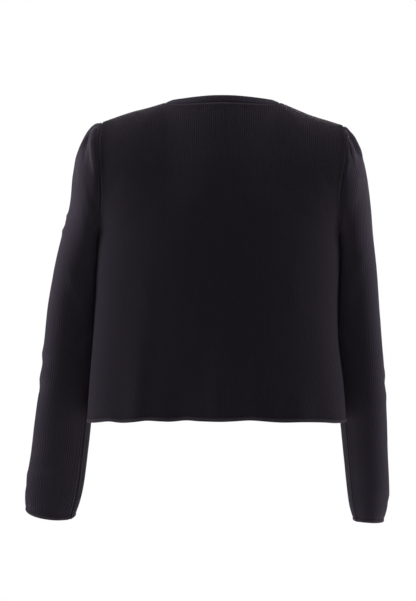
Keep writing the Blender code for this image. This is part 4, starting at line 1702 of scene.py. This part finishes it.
@dataclass
class Sleeve(Panel):
    """A sleeve from its armhole to its cuff, gathered at its head."""

    side: Side
    node: str
    rows_table: Table
    ribs: int = 86
    measured_row: float = 7.0
    row_step: float = 6.0 * MM
    fade_rows: float = 2.0
    degrees_per_row: float = 11.0
    head_rows: float = 6.0
    head_crowding: tuple[float, float] = (0.5, 0.13)
    head_rib_share: float = 0.15
    head_rib_fade: float = 26 * MM
    head_start: float = 11 * MM
    head_step: float = 1.6 * MM
    head_length: float = 90 * MM
    crease_start: float = 5 * MM
    # Painted highlight gain on raised creases, per metre of crease height.
    crease_highlight_gain: float = 0.4 / MM
    rib_share: float = 0.6
    seam_angle: float = 0.79 * math.pi
    # Painted highlight share on the ridge beside the sleeve's seam.
    seam_highlight_share: float = 0.5
    armpit_plain: float = 12 * MM
    armpit_fade: float = 36 * MM
    tuck: float = 1.6 * MM
    tuck_depth: float = 0.6 * MM

    def value(self, column: str, row: Number) -> Number:
        """Read the table at a row number, which may lie between two rows."""
        values = self.rows_table.column(column)
        return read_curve(np.arange(len(values)), values, row)

    def gather(self, degrees: Array, row: Array) -> Array:
        """Add up the gathers.

        Args:
            degrees: Ring angles.
            row: Row numbers.

        Returns:
            How far the cloth is raised there.
        """
        total = np.zeros(np.broadcast(degrees, row).shape)
        for gather in GATHERS[self.side]:
            run_angle = gather.end_angle - gather.start_angle
            run_row = (gather.end_row - gather.start_row) * self.degrees_per_row
            from_angle = degrees - gather.start_angle
            from_row = (row - gather.start_row) * self.degrees_per_row
            length = math.hypot(run_angle, run_row)
            along = (from_angle * run_angle + from_row * run_row) / length**2
            aside = (from_angle * run_row - from_row * run_angle) / length
            ends = ease((along + 0.15) / 0.3) * (1 - ease((along - 0.45) / 0.7))
            total += gather.height * ends * bell(aside, gather.half_width)
        return total * MM

    def armhole_shift(self, angle: Array) -> tuple[Array, Array]:
        """Work out what the first ring needs so that it lies along the body's armhole.

        Args:
            angle: Ring angles.

        Returns:
            The shifts outwards and backwards.
        """
        top_z = FORM.tip_z(self.side)
        share = (1 + np.cos(angle)) / 2
        seam_z = FORM.armpit_z + (top_z - FORM.armpit_z) * share
        back = FORM.armhole_depth(seam_z, self.side, Face.BACK)
        front = FORM.armhole_depth(seam_z, self.side, Face.FRONT)
        depth = np.where(np.sin(angle) >= 0, back, -front)
        seam_x = FORM.section(self.side.name.lower(), seam_z)
        first = {name: self.rows_table.column(name)[0] * MM for name in SLEEVE_COLUMNS}
        ring_x = first["inner_x"] + (first["outer_x"] - first["inner_x"]) * share
        ring_y = first["centre_y"] + first["half_depth"] * np.sin(angle)
        return seam_x - ring_x, FORM.section("side_y", seam_z) + depth - ring_y

    def point(self, row: Array, angle: Array) -> Array:
        """Find points of the sleeve.

        Args:
            row: Row numbers.
            angle: Ring angles, 0 at the sleeve's outer line and growing backwards.

        Returns:
            The points.
        """
        row, angle = np.broadcast_arrays(row, angle)
        read = {name: self.value(name, row) for name in SLEEVE_COLUMNS}
        arm_x = (read["outer_x"] - read["inner_x"]) / 2
        arm_z = (read["outer_z"] - read["inner_z"]) / 2
        half_depth = read["half_depth"]
        cosine, sine = np.cos(angle), np.sin(angle)
        x = (read["outer_x"] + read["inner_x"]) / 2 + arm_x * cosine
        y = read["centre_y"] + half_depth * sine + read["slant"] * arm_x * cosine
        z = (read["outer_z"] + read["inner_z"]) / 2 + arm_z * cosine - read["pitch"] * sine
        point = np.stack([x, y, z], axis=-1) * MM
        shift_x, shift_y = self.armhole_shift(angle)
        fade = 1 - ease(row / self.fade_rows)
        point[..., 0] += shift_x * fade
        point[..., 1] += shift_y * fade
        squared = arm_x**2 + arm_z**2
        outward = [arm_x * cosine / squared, sine / half_depth, arm_z * cosine / squared]
        lift = self.gather(self.degrees(angle), row)
        point += unit(np.stack(outward, axis=-1)) * lift[..., None]
        point[..., 0] *= self.side
        return point

    @staticmethod
    def degrees(angle: Array) -> Array:
        """Return ring angles in degrees, from -180 to 180."""
        return np.degrees(np.mod(angle + np.pi, 2 * np.pi) - np.pi)

    def angles(self) -> Array:
        """Spread the columns evenly round the middle of the sleeve.

        Returns:
            A ring angle for each column.
        """
        dense = np.linspace(0, 2 * np.pi, 2001)
        along = lengths_along(self.point(np.array(self.measured_row), dense)[None], 1)[0]
        count = self.ribs * SIZES.columns_per_rib
        return np.interp(np.arange(count) / count * along[-1], along, dense)

    def ring_rows(self) -> Array:
        """Spread the rings evenly along the back of the sleeve, closer at both ends.

        Returns:
            A row number for each ring.
        """
        dense = np.linspace(0, len(self.rows_table.rows) - 1, 4001)
        along = lengths_along(self.point(dense, np.array(np.pi / 2))[:, None], 0)[:, 0]
        near_seam, near_hem = np.array(SEAM_ROWS) * MM, np.array(HEM_ROWS) * MM
        head = np.arange(self.head_start, self.head_length, self.head_step)
        arm_end = along[-1] - near_hem[0] - self.row_step / 2
        arm = np.arange(head[-1] + self.row_step, arm_end, self.row_step)
        places = np.concatenate([near_seam, head, arm, along[-1] - near_hem])
        return np.interp(places, along, dense)

    def creases(self, points: Array, angles: Array) -> Array:
        """Add up the creases at the sleeve's head and along the arm.

        Args:
            points: The grid of points.
            angles: Their ring angles.

        Returns:
            How far each point is raised.
        """
        total = np.zeros(points.shape[:2])
        for face in Face:
            half = ease((face * np.sin(angles) + 0.05) / 0.25)
            head = HEAD_CREASES[self.side, face]
            total += half * crease_relief(head, points[..., 0], points[..., 2])
        degrees = self.degrees(angles) * MM
        for turn in (-360 * MM, 0.0, 360 * MM):
            total += crease_relief(ARM_CREASES[self.side], degrees + turn, points[..., 2])
        return total

    def build(self, wardrobe: Wardrobe, name: str) -> Piece:
        """Build the sleeve and hand it in.

        Args:
            wardrobe: The trees and finishes.
            name: The piece's name.

        Returns:
            The piece.
        """
        rows = self.ring_rows()[:, None]
        even = self.angles()[None]
        once, twice = self.head_crowding
        crowding = once * np.sin(even) + twice * np.sin(2 * even)
        angles = even - crowding * (1 - ease(rows / self.head_rows))
        points = self.point(rows, angles)
        from_axis = (points - points.mean(axis=1, keepdims=True))[len(points) // 2]
        smooth_normals = facing(grid_normals(points, True), from_axis)
        down = lengths_along(points, 0)
        rise = down[-1] - down
        creases = self.creases(points, angles) * ease(down / self.crease_start)
        points = points + smooth_normals * creases[..., None]
        normals = facing(grid_normals(points, True), from_axis)
        seam_angle = math.pi + (self.seam_angle - math.pi) * ease(rows / self.head_rows)
        from_seam = np.abs(angles - seam_angle) * self.value("half_depth", rows) * MM
        relief = seam_relief(down) + hem_relief(rise)
        relief += seam_relief(from_seam) * ease((down - self.armpit_plain) / self.armpit_fade)
        points = points - normals * (self.tuck_depth * tucked(down))[..., None]
        points[..., 0] -= self.side * self.tuck * tucked(down)
        share = self.head_rib_share
        share = share + (1 - share) * ease(down / self.head_rib_fade)
        weight = rib_weight(down, rise) * self.rib_share * share
        outer = points + normals * relief[..., None]
        inside = (slice(None), slice(None, None, SIZES.columns_per_rib))
        inner = inner_points(points[inside], self.wall_ways(points, normals), rise[inside])
        # Painted highlight on raised creases, the cuff's lip and the ridge beside the sleeve's
        # seam.
        painted_highlight = self.crease_highlight_gain * np.maximum(creases, 0.0) + hem_highlight(rise)
        painted_highlight += self.seam_highlight_share * seam_highlight(from_seam)
        wall = ClothWall(outer, inner, -rise / SIZES.course_pitch, weight, painted_highlight, closed=True)
        # The sleeves use the lighter copy of the knit, which is painted light.
        piece = wardrobe.knitted(wall, name, wardrobe.sleeve_knit, self.node)
        self.measure(name, down, lengths_along(np.concatenate([points, points[:, :1]], axis=1), 1))
        self.keep_hem(outer, normals, rise, 0)
        return piece

    def wall_ways(self, points: Array, normals: Array) -> Array:
        """Keep the wall's first ring from leaning over the armhole seam.

        Args:
            points: The outer points.
            normals: Their normals.

        Returns:
            The ways out of the wall at its inner columns.
        """
        fine = SIZES.columns_per_rib
        ways = normals[:, ::fine].copy()
        along = unit(np.roll(points[0], -fine, axis=0) - np.roll(points[0], fine, axis=0))[::fine]
        inwards = np.array([-float(self.side), 0.0, 0.0])
        across = unit(inwards - along * np.sum(along * inwards, axis=-1, keepdims=True))
        ways[0] = without(ways[0], across)
        return ways


# Neckband and front bands


@dataclass
class Neckband(Cloth):
    """The folded band round the neck, open at the front between the two front bands."""

    width: float = 11.5 * MM
    wall: float = 2.0 * MM
    rises: tuple[float, ...] = (
        11.5, 11.3, 10.9, 10.2, 9, 7.5, 6, 4.5, 3.2, 2.2, 1.4, 0.8, 0.3, -0.8)
    lean_centre: float = math.radians(16)
    lean_side: float = math.radians(66)
    band_width: float = 25 * MM
    gap: float = -0.3 * MM
    reach: float = 0.2
    bulge: float = 0.5 * MM
    fold: float = 1.3 * MM
    fold_drop: float = 1.0 * MM
    fold_thinning: float = 0.9
    rib_height: float = 0.4 * MM
    rib_start: float = 0.6 * MM
    rib_fade: float = 1.6 * MM
    end_start: float = 0.4 * MM
    end_fade: float = 1.2 * MM
    # Width of the painted highlight along the band's folded top.
    top_highlight_width: float = 1.6 * MM
    lift: float = 2.3 * MM
    lift_fade: float = 45 * MM

    def neckline(self, angle: Array) -> Array:
        """Find points of the neckline.

        Args:
            angle: Angles round the neck, 0 at the centre back.

        Returns:
            The points.
        """
        across = FORM.neck_share() * np.sin(angle)
        back = FORM.point(across, 0.0, Face.BACK)
        front = FORM.point(across, 0.0, Face.FRONT)
        return np.where(np.cos(angle)[..., None] >= 0, back, front)

    def point(self, angle: Array, rise: Array) -> Array:
        """Find points of the band.

        Args:
            angle: Angles round the neck.
            rise: Distances above the neckline.

        Returns:
            The points.
        """
        angle, rise = np.broadcast_arrays(angle, rise)
        along = unit(self.neckline(angle + self.reach) - self.neckline(angle - self.reach))
        base = self.neckline(angle)
        inward = unit(np.stack([-base[..., 0], -base[..., 1], np.zeros_like(rise)], axis=-1))
        lean = self.lean_centre + (self.lean_side - self.lean_centre) * np.sin(angle) ** 2
        way = inward * np.sin(lean)[..., None]
        way[..., 2] += np.cos(lean)
        way = unit(way - along * np.sum(way * along, axis=-1, keepdims=True))
        return base + way * rise[..., None]

    def front_lift(self, x: Array) -> Array:
        """Return how far the band stands out beside the front band that laps over."""
        away = (np.abs(x) - self.band_width / 2) / self.lift_fade
        return self.lift * (1 - ease(away))

    def build(self, wardrobe: Wardrobe, name: str) -> Piece:
        """Build the band and hand it in.

        Args:
            wardrobe: The trees and finishes.
            name: The piece's name.

        Returns:
            The piece.
        """
        first = math.asin((self.band_width / 2 + self.gap) / FORM.neck_half_width)
        last = math.pi - first
        dense = np.linspace(-last, last, 2001)
        along = lengths_along(self.point(dense, np.full_like(dense, self.width / 2))[None], 1)[0]
        fine = SIZES.columns_per_rib
        ribs = round(along[-1] / SIZES.rib_pitch)
        angles = np.interp(np.linspace(0, along[-1], ribs * fine + 1), along, dense)
        rises = np.array(self.rises) * MM
        points = self.point(angles[None], rises[:, None])
        lifted = (points[..., 0] < 0) & (points[..., 1] < 0)
        points[..., 1] -= np.where(lifted, self.front_lift(points[..., 0]), 0.0)
        level = points[len(points) // 2] * np.array([1.0, 1.0, 0.0])
        normals = facing(grid_normals(points, False), level)
        rise = np.broadcast_to(rises[:, None], points.shape[:2])
        top = np.clip(1 - (self.width - rise) / self.fold, 0.0, 1.0)
        round_top = self.fold_drop * (1 - np.sqrt(1 - top**2))
        relief = self.bulge * np.sin(np.pi * np.clip(rise / self.width, 0, 1))
        relief = relief - SIZES.seam_depth * bell(rise, SIZES.seam_width) - round_top
        across = lengths_along(points, 1)
        ends = np.minimum(across, across[:, -1:] - across)
        weight = ease((rise - self.rib_start) / self.rib_fade)
        weight = weight * ease((self.width - rise) / self.end_fade)
        weight = weight * ease((ends - self.end_start) / self.end_fade)
        outer = points + normals * relief[..., None]
        inner = points - normals * (self.wall - round_top * self.fold_thinning)[..., None]
        # Painted highlight along the band's folded top.
        painted_highlight = bell(self.width - rise, self.top_highlight_width)
        wall = ClothWall(outer, inner[:, ::fine], rise / SIZES.course_pitch, weight, painted_highlight)
        # The bands use the lighter copy of the knit, which is painted light.
        knit = wardrobe.band_knit
        piece = wardrobe.knitted(wall, name, knit, "neckband", self.rib_height)
        self.length = float(along[-1])
        LOG.info("%s: %.3f m long", name, self.length)
        return piece


@dataclass
class FrontBand(Cloth):
    """A front band, sewn flat on the front's edge from the neckband's top to the hem."""

    node: str
    neckband: Neckband
    lift: float
    width: float = 25 * MM
    columns: int = 33
    row_step: float = 5.0 * MM
    neck_rises: tuple[float, ...] = (11.5, 11.2, 10.6, 9.5, 7.5, 5.5, 3.5, 1.8)
    rounding: float = 0.8 * MM
    edge_thinning: float = 0.6
    proud: float = 0.12 * MM
    stitch_place: float = 2.2 * MM
    stitch_groove: float = 0.35 * MM
    stitch_groove_width: float = 0.6 * MM
    rib_height: float = 0.45 * MM
    rib_start: float = 2.6 * MM
    rib_fade: float = 1.2 * MM
    end_start: float = 0.6 * MM
    end_fade: float = 1.5 * MM
    # Painted highlight share along the band's rounded edges.
    edge_highlight_share: float = 0.5

    def surface(self) -> Array:
        """Lay out the band.

        Returns:
            The grid of smooth outer points.
        """
        offsets = np.linspace(-self.width / 2, self.width / 2, self.columns)
        rounding = FORM.shoulder_tip_z - FORM.armpit_z
        down = row_depths(rounding, FORM.shoulder_tip_z - FORM.side_hem_z, self.row_step)
        side = np.where(offsets >= 0, 1, -1)[None]
        across = offsets[None] / FORM.half_width(FORM.side_edge_z(down[:, None], side), side)
        panel = FORM.point(across, down[:, None], Face.FRONT)
        angle = math.pi - np.arcsin(offsets / FORM.neck_half_width)
        top = self.neckband.point(angle[None], np.array(self.neck_rises)[:, None] * MM)
        top[..., 0] = offsets[None]
        points = np.concatenate([top, panel])
        points[..., 1] -= self.lift
        return points

    def build(self, wardrobe: Wardrobe, name: str) -> Piece:
        """Build the band and hand it in.

        Args:
            wardrobe: The trees and finishes.
            name: The piece's name.

        Returns:
            The piece.
        """
        points = self.surface()
        normals = facing(grid_normals(points, False), np.array([0.0, -1.0, 0.0]))
        down, across = lengths_along(points, 0), lengths_along(points, 1)
        rise, edge = down[-1] - down, np.minimum(across, across[:, -1:] - across)
        end = np.minimum(np.minimum(down, rise), edge)
        inset = np.clip(1 - end / self.rounding, 0.0, 1.0)
        round_edge = self.rounding * (1 - np.sqrt(1 - inset**2))
        groove = self.stitch_groove * bell(edge - self.stitch_place, self.stitch_groove_width)
        relief = -round_edge - groove + self.proud
        weight = ease((edge - self.rib_start) / self.rib_fade)
        weight = weight * ease((end - self.end_start) / self.end_fade)
        outer = points + normals * relief[..., None]
        depth = SIZES.wall - self.edge_thinning * round_edge
        inner = (points - normals * depth[..., None])[:, ::SIZES.columns_per_rib]
        # Painted highlight along the band's rounded edges.
        painted_highlight = self.edge_highlight_share * bell(edge - self.rounding, self.rounding)
        wall = ClothWall(outer, inner, down / SIZES.course_pitch, weight, painted_highlight)
        # The bands use the lighter copy of the knit, which is painted light.
        knit = wardrobe.band_knit
        piece = wardrobe.knitted(wall, name, knit, self.node, self.rib_height)
        self.length = float(down[-1].max())
        keep = slice(4, -8)
        for target in (self.stitch_place, self.width - self.stitch_place):
            column = int(np.argmin(np.abs(across[len(points) // 2] - target)))
            ways = normals[keep, column]
            self.stitch_lines.append((outer[keep, column] + ways * 0.1 * MM, ways))
        LOG.info("%s: %.3f m long", name, self.length)
        return piece


# Buttons


@dataclass
class Buttons:
    """Seven small four-hole buttons, each sewn on with crossed thread, and their buttonholes."""

    count: int = 7
    radius: float = 5.5 * MM
    thickness: float = 2.4 * MM
    edge: float = 0.5 * MM
    rim: float = 1.5 * MM
    rim_half_width: float = 0.42 * MM
    rim_slope: float = 0.4 * MM
    dish: float = 0.7 * MM
    floor_radius: float = 2.6 * MM
    hole_radius: float = 0.75 * MM
    hole_place: float = 1.35 * MM
    sides: int = 48
    top_drop: float = 16 * MM
    lowest_rise: float = 18 * MM
    band_lift: float = 2.3 * MM
    gap: float = 0.3 * MM
    neckband_width: float = 11.5 * MM
    thread_rise: float = 0.35 * MM
    thread_sink: float = 0.5 * MM
    slit_half_length: float = 7.0 * MM
    slit_half_width: float = 0.9 * MM
    slit_lift: float = 0.1 * MM

    def places(self) -> list[Line]:
        """Space the buttons down the band.

        Returns:
            Each button's underside and the way out of the band there.
        """
        neck_z = FORM.point(0.0, 0.0, Face.FRONT)[2]
        hem_z = FORM.point(0.0, 1.0, Face.FRONT)[2]
        top = neck_z + self.neckband_width - self.top_drop
        lowest = hem_z + self.lowest_rise
        places = []
        for index in range(self.count):
            down = (neck_z - (top + (lowest - top) * index / (self.count - 1))) / (neck_z - hem_z)
            step = 0.01
            slope = FORM.point(0.0, down + step, Face.FRONT)
            slope = slope - FORM.point(0.0, down - step, Face.FRONT)
            outward = unit(np.array([0.0, slope[2], -slope[1]]))
            base = FORM.point(0.0, down, Face.FRONT) + np.array([0.0, -self.band_lift, 0.0])
            places.append((base + outward * self.gap, outward))
        return places

    def profile(self) -> list[tuple[float, float]]:
        """Draw the button's half section.

        Returns:
            Radii and heights, from the middle of its face to that of its back.
        """
        top, edge, floor = self.thickness, self.edge, self.thickness - self.dish
        points = [(0.0, floor), (self.floor_radius, floor)]
        for share in (0.2, 0.4, 0.6, 0.8, 1.0):
            across = self.rim_half_width * math.cos(math.pi * share) + self.rim_slope * (1 - share)
            height = floor + self.dish * math.sin(math.pi * share / 2)
            points.append((self.radius - self.rim - across, height))
        turns = [math.pi / 2 * step / 4 for step in range(5)]
        rim = self.radius - edge
        points += [(rim + edge * math.sin(turn), top - edge + edge * math.cos(turn))
                   for turn in turns]
        points += [(rim + edge * math.cos(turn), edge - edge * math.sin(turn)) for turn in turns]
        return points + [(0.0, 0.0)]

    def drills(self) -> Piece:
        """Make the four pins that drill the holes.

        Returns:
            One object that holds all four.
        """
        pins = bmesh.new()
        for corner in range(4):
            turn = math.pi / 4 + corner * math.pi / 2
            place = Matrix.Translation((self.hole_place * math.cos(turn),
                                        self.hole_place * math.sin(turn), 0.5 * self.thickness))
            bmesh.ops.create_cone(pins, cap_ends=True, segments=16, radius1=self.hole_radius,
                                  radius2=self.hole_radius, depth=3 * self.thickness, matrix=place)
        mesh = bpy.data.meshes.new("button_drills")
        pins.to_mesh(mesh)
        pins.free()
        drill = bpy.data.objects.new("button_drills", mesh)
        bpy.context.scene.collection.objects.link(drill)
        return drill

    def blank(self) -> Mesh:
        """Turn one button and drill its four holes.

        Returns:
            Its mesh, with its back at the origin.
        """
        mesh = bpy.data.meshes.new("button_blank")
        profile = self.profile()
        mesh.from_pydata([(radius, 0.0, height) for radius, height in profile],
                         [(step, step + 1) for step in range(len(profile) - 1)], [])
        body = bpy.data.objects.new("button_blank", mesh)
        bpy.context.scene.collection.objects.link(body)
        turning = body.modifiers.new("turning", "SCREW")
        turning.steps = turning.render_steps = self.sides
        turning.use_merge_vertices, turning.merge_threshold = True, 0.01 * MM
        turning.use_normal_calculate = True
        drill = self.drills()
        cut = body.modifiers.new("drilling", "BOOLEAN")
        cut.operation, cut.object, cut.solver = "DIFFERENCE", drill, "EXACT"
        graph = bpy.context.evaluated_depsgraph_get()
        made = bpy.data.meshes.new_from_object(body.evaluated_get(graph), depsgraph=graph)
        bpy.data.objects.remove(body, do_unlink=True)
        bpy.data.objects.remove(drill, do_unlink=True)
        tidy = bmesh.new()
        tidy.from_mesh(made)
        bmesh.ops.remove_doubles(tidy, verts=tidy.verts, dist=0.005 * MM)
        bmesh.ops.recalc_face_normals(tidy, faces=tidy.faces)
        tidy.to_mesh(made)
        tidy.free()
        made.shade_smooth()
        made.set_sharp_from_angle(angle=math.radians(40))
        return made

    def build(self, wardrobe: Wardrobe) -> None:
        """Build the buttons, their thread and the stitched buttonholes.

        Args:
            wardrobe: The trees and finishes.
        """
        blank = self.blank()
        blank.materials.clear()
        blank.materials.append(wardrobe.plastic)
        cross_lines, hole_lines = [], []
        for index, (base, outward) in enumerate(self.places()):
            mesh = blank.copy()
            turn = Vector(outward).to_track_quat("Z", "Y").to_matrix().to_4x4()
            place = Matrix.Translation(Vector(base)) @ turn
            mesh.transform(place)
            number = index + 1
            wardrobe.hand_in(mesh, f"sewn_button_{number}", [f"button_{number}"])
            cross_lines += self.cross(place, outward)
            hole_lines.append(self.buttonhole(base, outward))
        wardrobe.sew(cross_lines, "button_thread", BUTTON_THREAD, Slot.BUTTON)
        wardrobe.sew(hole_lines, "buttonhole_stitches", BUTTONHOLE_STITCH, Slot.BAND)

    def cross(self, place: Matrix, outward: Array) -> list[StitchLine]:
        """Lay the two crossed loops of thread between a button's holes.

        Args:
            place: Where the button lies.
            outward: The way out of the band there.

        Returns:
            The two lines.
        """
        lines = []
        floor = self.thickness - self.dish
        for turn in (math.pi / 4, 3 * math.pi / 4):
            points = []
            for step in np.linspace(-1, 1, 9):
                height = floor + self.thread_rise * (1 - step**4) - self.thread_sink * step**8
                reach = self.hole_place * step
                point = Vector((reach * math.cos(turn), reach * math.sin(turn), height))
                points.append(place @ point)
            lines.append((np.array(points), np.tile(outward, (len(points), 1)), False))
        return lines

    def buttonhole(self, base: Array, outward: Array) -> StitchLine:
        """Lay the long loop of a buttonhole's edge, which shows above and below its button.

        Args:
            base: The button's underside.
            outward: The way out of the band there.

        Returns:
            The closed line.
        """
        up = unit(np.cross(outward, np.array([1.0, 0.0, 0.0])))
        if up[2] < 0:
            up = -up
        middle = base - outward * (self.gap - self.slit_lift)
        points = []
        for turn in np.linspace(0, 2 * np.pi, 48, endpoint=False):
            rise = self.slit_half_length * np.clip(1.12 * math.cos(turn), -1, 1)
            wide = self.slit_half_width * np.clip(1.6 * math.sin(turn), -1, 1)
            points.append(middle + up * rise + np.array([1.0, 0.0, 0.0]) * wide)
        return np.array(points), np.tile(outward, (len(points), 1)), True


# Studio


class Lamp(NamedTuple):
    """A soft round lamp: where it hangs, what it faces, how wide and how strong it is."""

    name: str
    place: Point
    aim: Point
    size: float
    power: float


CHEST = (0.0, 0.0, -0.25)
LAMPS = (
    Lamp("overhead", (0.0, 0.2, 1.9), (0.0, 0.0, -0.1), 1.6, 42.0),
    Lamp("left_edge", (2.4, 0.3, 0.3), CHEST, 1.2, 136.0),
    Lamp("right_edge", (-2.4, 0.3, 0.3), CHEST, 1.2, 92.0),
    Lamp("fill_front", (-0.6, -3.2, 0.6), CHEST, 2.2, 170.0),
)


@dataclass(frozen=True)
class Studio:
    """A pale floor, soft light and the camera behind the garment."""

    pixel: float = 1.52 * MM
    frame_height: int = 601
    distance: float = 4.0
    camera_x: float = 21.98 * MM
    camera_z: float = -299.44 * MM
    sensor: float = 36.0
    floor_z: float = -1.42
    floor_radius: float = 5.0
    view_end: float = 100.0

    def camera(self) -> None:
        """Place the camera level behind the garment."""
        data = bpy.data.cameras.new("camera")
        data.sensor_width = self.sensor
        data.lens = self.sensor * self.distance / (self.pixel * self.frame_height)
        data.clip_end = self.view_end
        camera = bpy.data.objects.new("camera", data)
        camera.location = (self.camera_x, self.distance, self.camera_z)
        camera.rotation_euler = (math.pi / 2, 0.0, math.pi)
        bpy.context.scene.collection.objects.link(camera)
        bpy.context.scene.camera = camera

    def floor(self) -> None:
        """Lay the floor."""
        disc = bmesh.new()
        bmesh.ops.create_circle(disc, cap_ends=True, segments=96, radius=self.floor_radius,
                                matrix=Matrix.Translation((0.0, 0.0, self.floor_z)))
        mesh = bpy.data.meshes.new("floor")
        disc.to_mesh(mesh)
        disc.free()
        material, tree, shader = new_material("pale_floor")
        grain = add_node(tree, "ShaderNodeTexNoise",
                         tree.nodes.new("ShaderNodeTexCoord").outputs["Object"], None, 3.0)
        colour = mix_colours(tree, grain.outputs[0], (0.86, 0.86, 0.86, 1.0), (0.9, 0.9, 0.9, 1.0))
        tree.links.new(colour, shader.inputs["Base Color"])
        shader.inputs["Roughness"].default_value = 0.9
        mesh.materials.append(material)
        floor = bpy.data.objects.new("floor", mesh)
        bpy.context.scene.collection.objects.link(floor)

    def hang(self, lamp: Lamp) -> None:
        """Hang one lamp.

        Args:
            lamp: The lamp.
        """
        data = bpy.data.lights.new(lamp.name, "AREA")
        data.shape, data.size, data.energy = "DISK", lamp.size, lamp.power
        light = bpy.data.objects.new(lamp.name, data)
        light.location = lamp.place
        towards = Vector(lamp.aim) - Vector(lamp.place)
        light.rotation_euler = towards.to_track_quat("-Z", "Y").to_euler()
        bpy.context.scene.collection.objects.link(light)

    def build(self) -> None:
        """Set up the whole studio."""
        self.camera()
        self.floor()
        for lamp in LAMPS:
            self.hang(lamp)
        scene = bpy.context.scene
        scene.view_settings.view_transform = "Standard"
        world = scene.world or bpy.data.worlds.new("studio")
        scene.world = world
        world.use_nodes = True
        surround = world.node_tree.nodes["Background"]
        surround.inputs["Color"].default_value = (1.0, 1.0, 1.0, 1.0)
        surround.inputs["Strength"].default_value = 1.0


# The whole garment


@dataclass
class Cardigan:
    """The garment's sub-assemblies, in the order in which a maker sews them."""

    wardrobe: Wardrobe
    front_edge: float = 12.2 * MM
    lap: float = 2.3 * MM

    def panels(self) -> list[BodyPanel]:
        """Build the back and both fronts.

        Returns:
            The three panels.
        """
        edge, lap = self.front_edge, self.lap
        start = edge / float(FORM.half_width(FORM.shoulder_tip_z, Side.LEFT))
        panels = {
            "back_knit": BodyPanel(Face.BACK, "back", -1.0, 1.0),
            "left_front_knit": BodyPanel(Face.FRONT, "front_left", start, 1.0, edge),
            "right_front_knit": BodyPanel(
                Face.FRONT, "front_right", -start, -1.0, edge, band_lift=lap),
        }
        for name, panel in panels.items():
            piece = panel.build(self.wardrobe, name)
        return list(panels.values())

    def sleeves(self) -> list[Sleeve]:
        """Build both sleeves.

        Returns:
            The two sleeves.
        """
        sleeves = {
            "left_sleeve_knit": Sleeve(Side.LEFT, "sleeve_left", LEFT_SLEEVE),
            "right_sleeve_knit": Sleeve(Side.RIGHT, "sleeve_right", RIGHT_SLEEVE),
        }
        for name, sleeve in sleeves.items():
            piece = sleeve.build(self.wardrobe, name)
        return list(sleeves.values())

    def bands(self) -> FrontBand:
        """Build the neckband and both front bands.

        Returns:
            The band that laps over.
        """
        neckband = Neckband()
        piece = neckband.build(self.wardrobe, "neckband_knit")
        for node, lift in (("button_band", 0.0), ("buttonhole_band", neckband.lift)):
            band = FrontBand(node, neckband, lift)
            piece = band.build(self.wardrobe, node + "_knit")
        return band

    def sew(self, panels: list[BodyPanel], sleeves: list[Sleeve], over: FrontBand) -> None:
        """Lay the stitches of the hems, the cuffs and the front band that laps over.

        Args:
            panels: The back and both fronts.
            sleeves: Both sleeves.
            over: The band.
        """
        hems = [(*line, False) for panel in panels for line in panel.stitch_lines]
        self.wardrobe.sew(hems, "hem_stitches", HEM_STITCH, Slot.RIB)
        cuffs = [(*line, True) for sleeve in sleeves for line in sleeve.stitch_lines]
        self.wardrobe.sew(cuffs, "cuff_stitches", CUFF_STITCH, Slot.RIB)
        edges = [(*line, False) for line in over.stitch_lines]
        self.wardrobe.sew(edges, "band_stitches", BAND_STITCH, Slot.BAND)

    def build(self) -> None:
        """Build every sub-assembly."""
        panels, sleeves = self.panels(), self.sleeves()
        self.sew(panels, sleeves, self.bands())
        Buttons().build(self.wardrobe)


def main() -> None:
    """Load the frame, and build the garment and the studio."""
    logging.basicConfig(level=logging.INFO, format="%(name)s %(message)s")
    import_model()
    Cardigan(Wardrobe.make()).build()
    Studio().build()


if __name__ == "__main__":
    main()
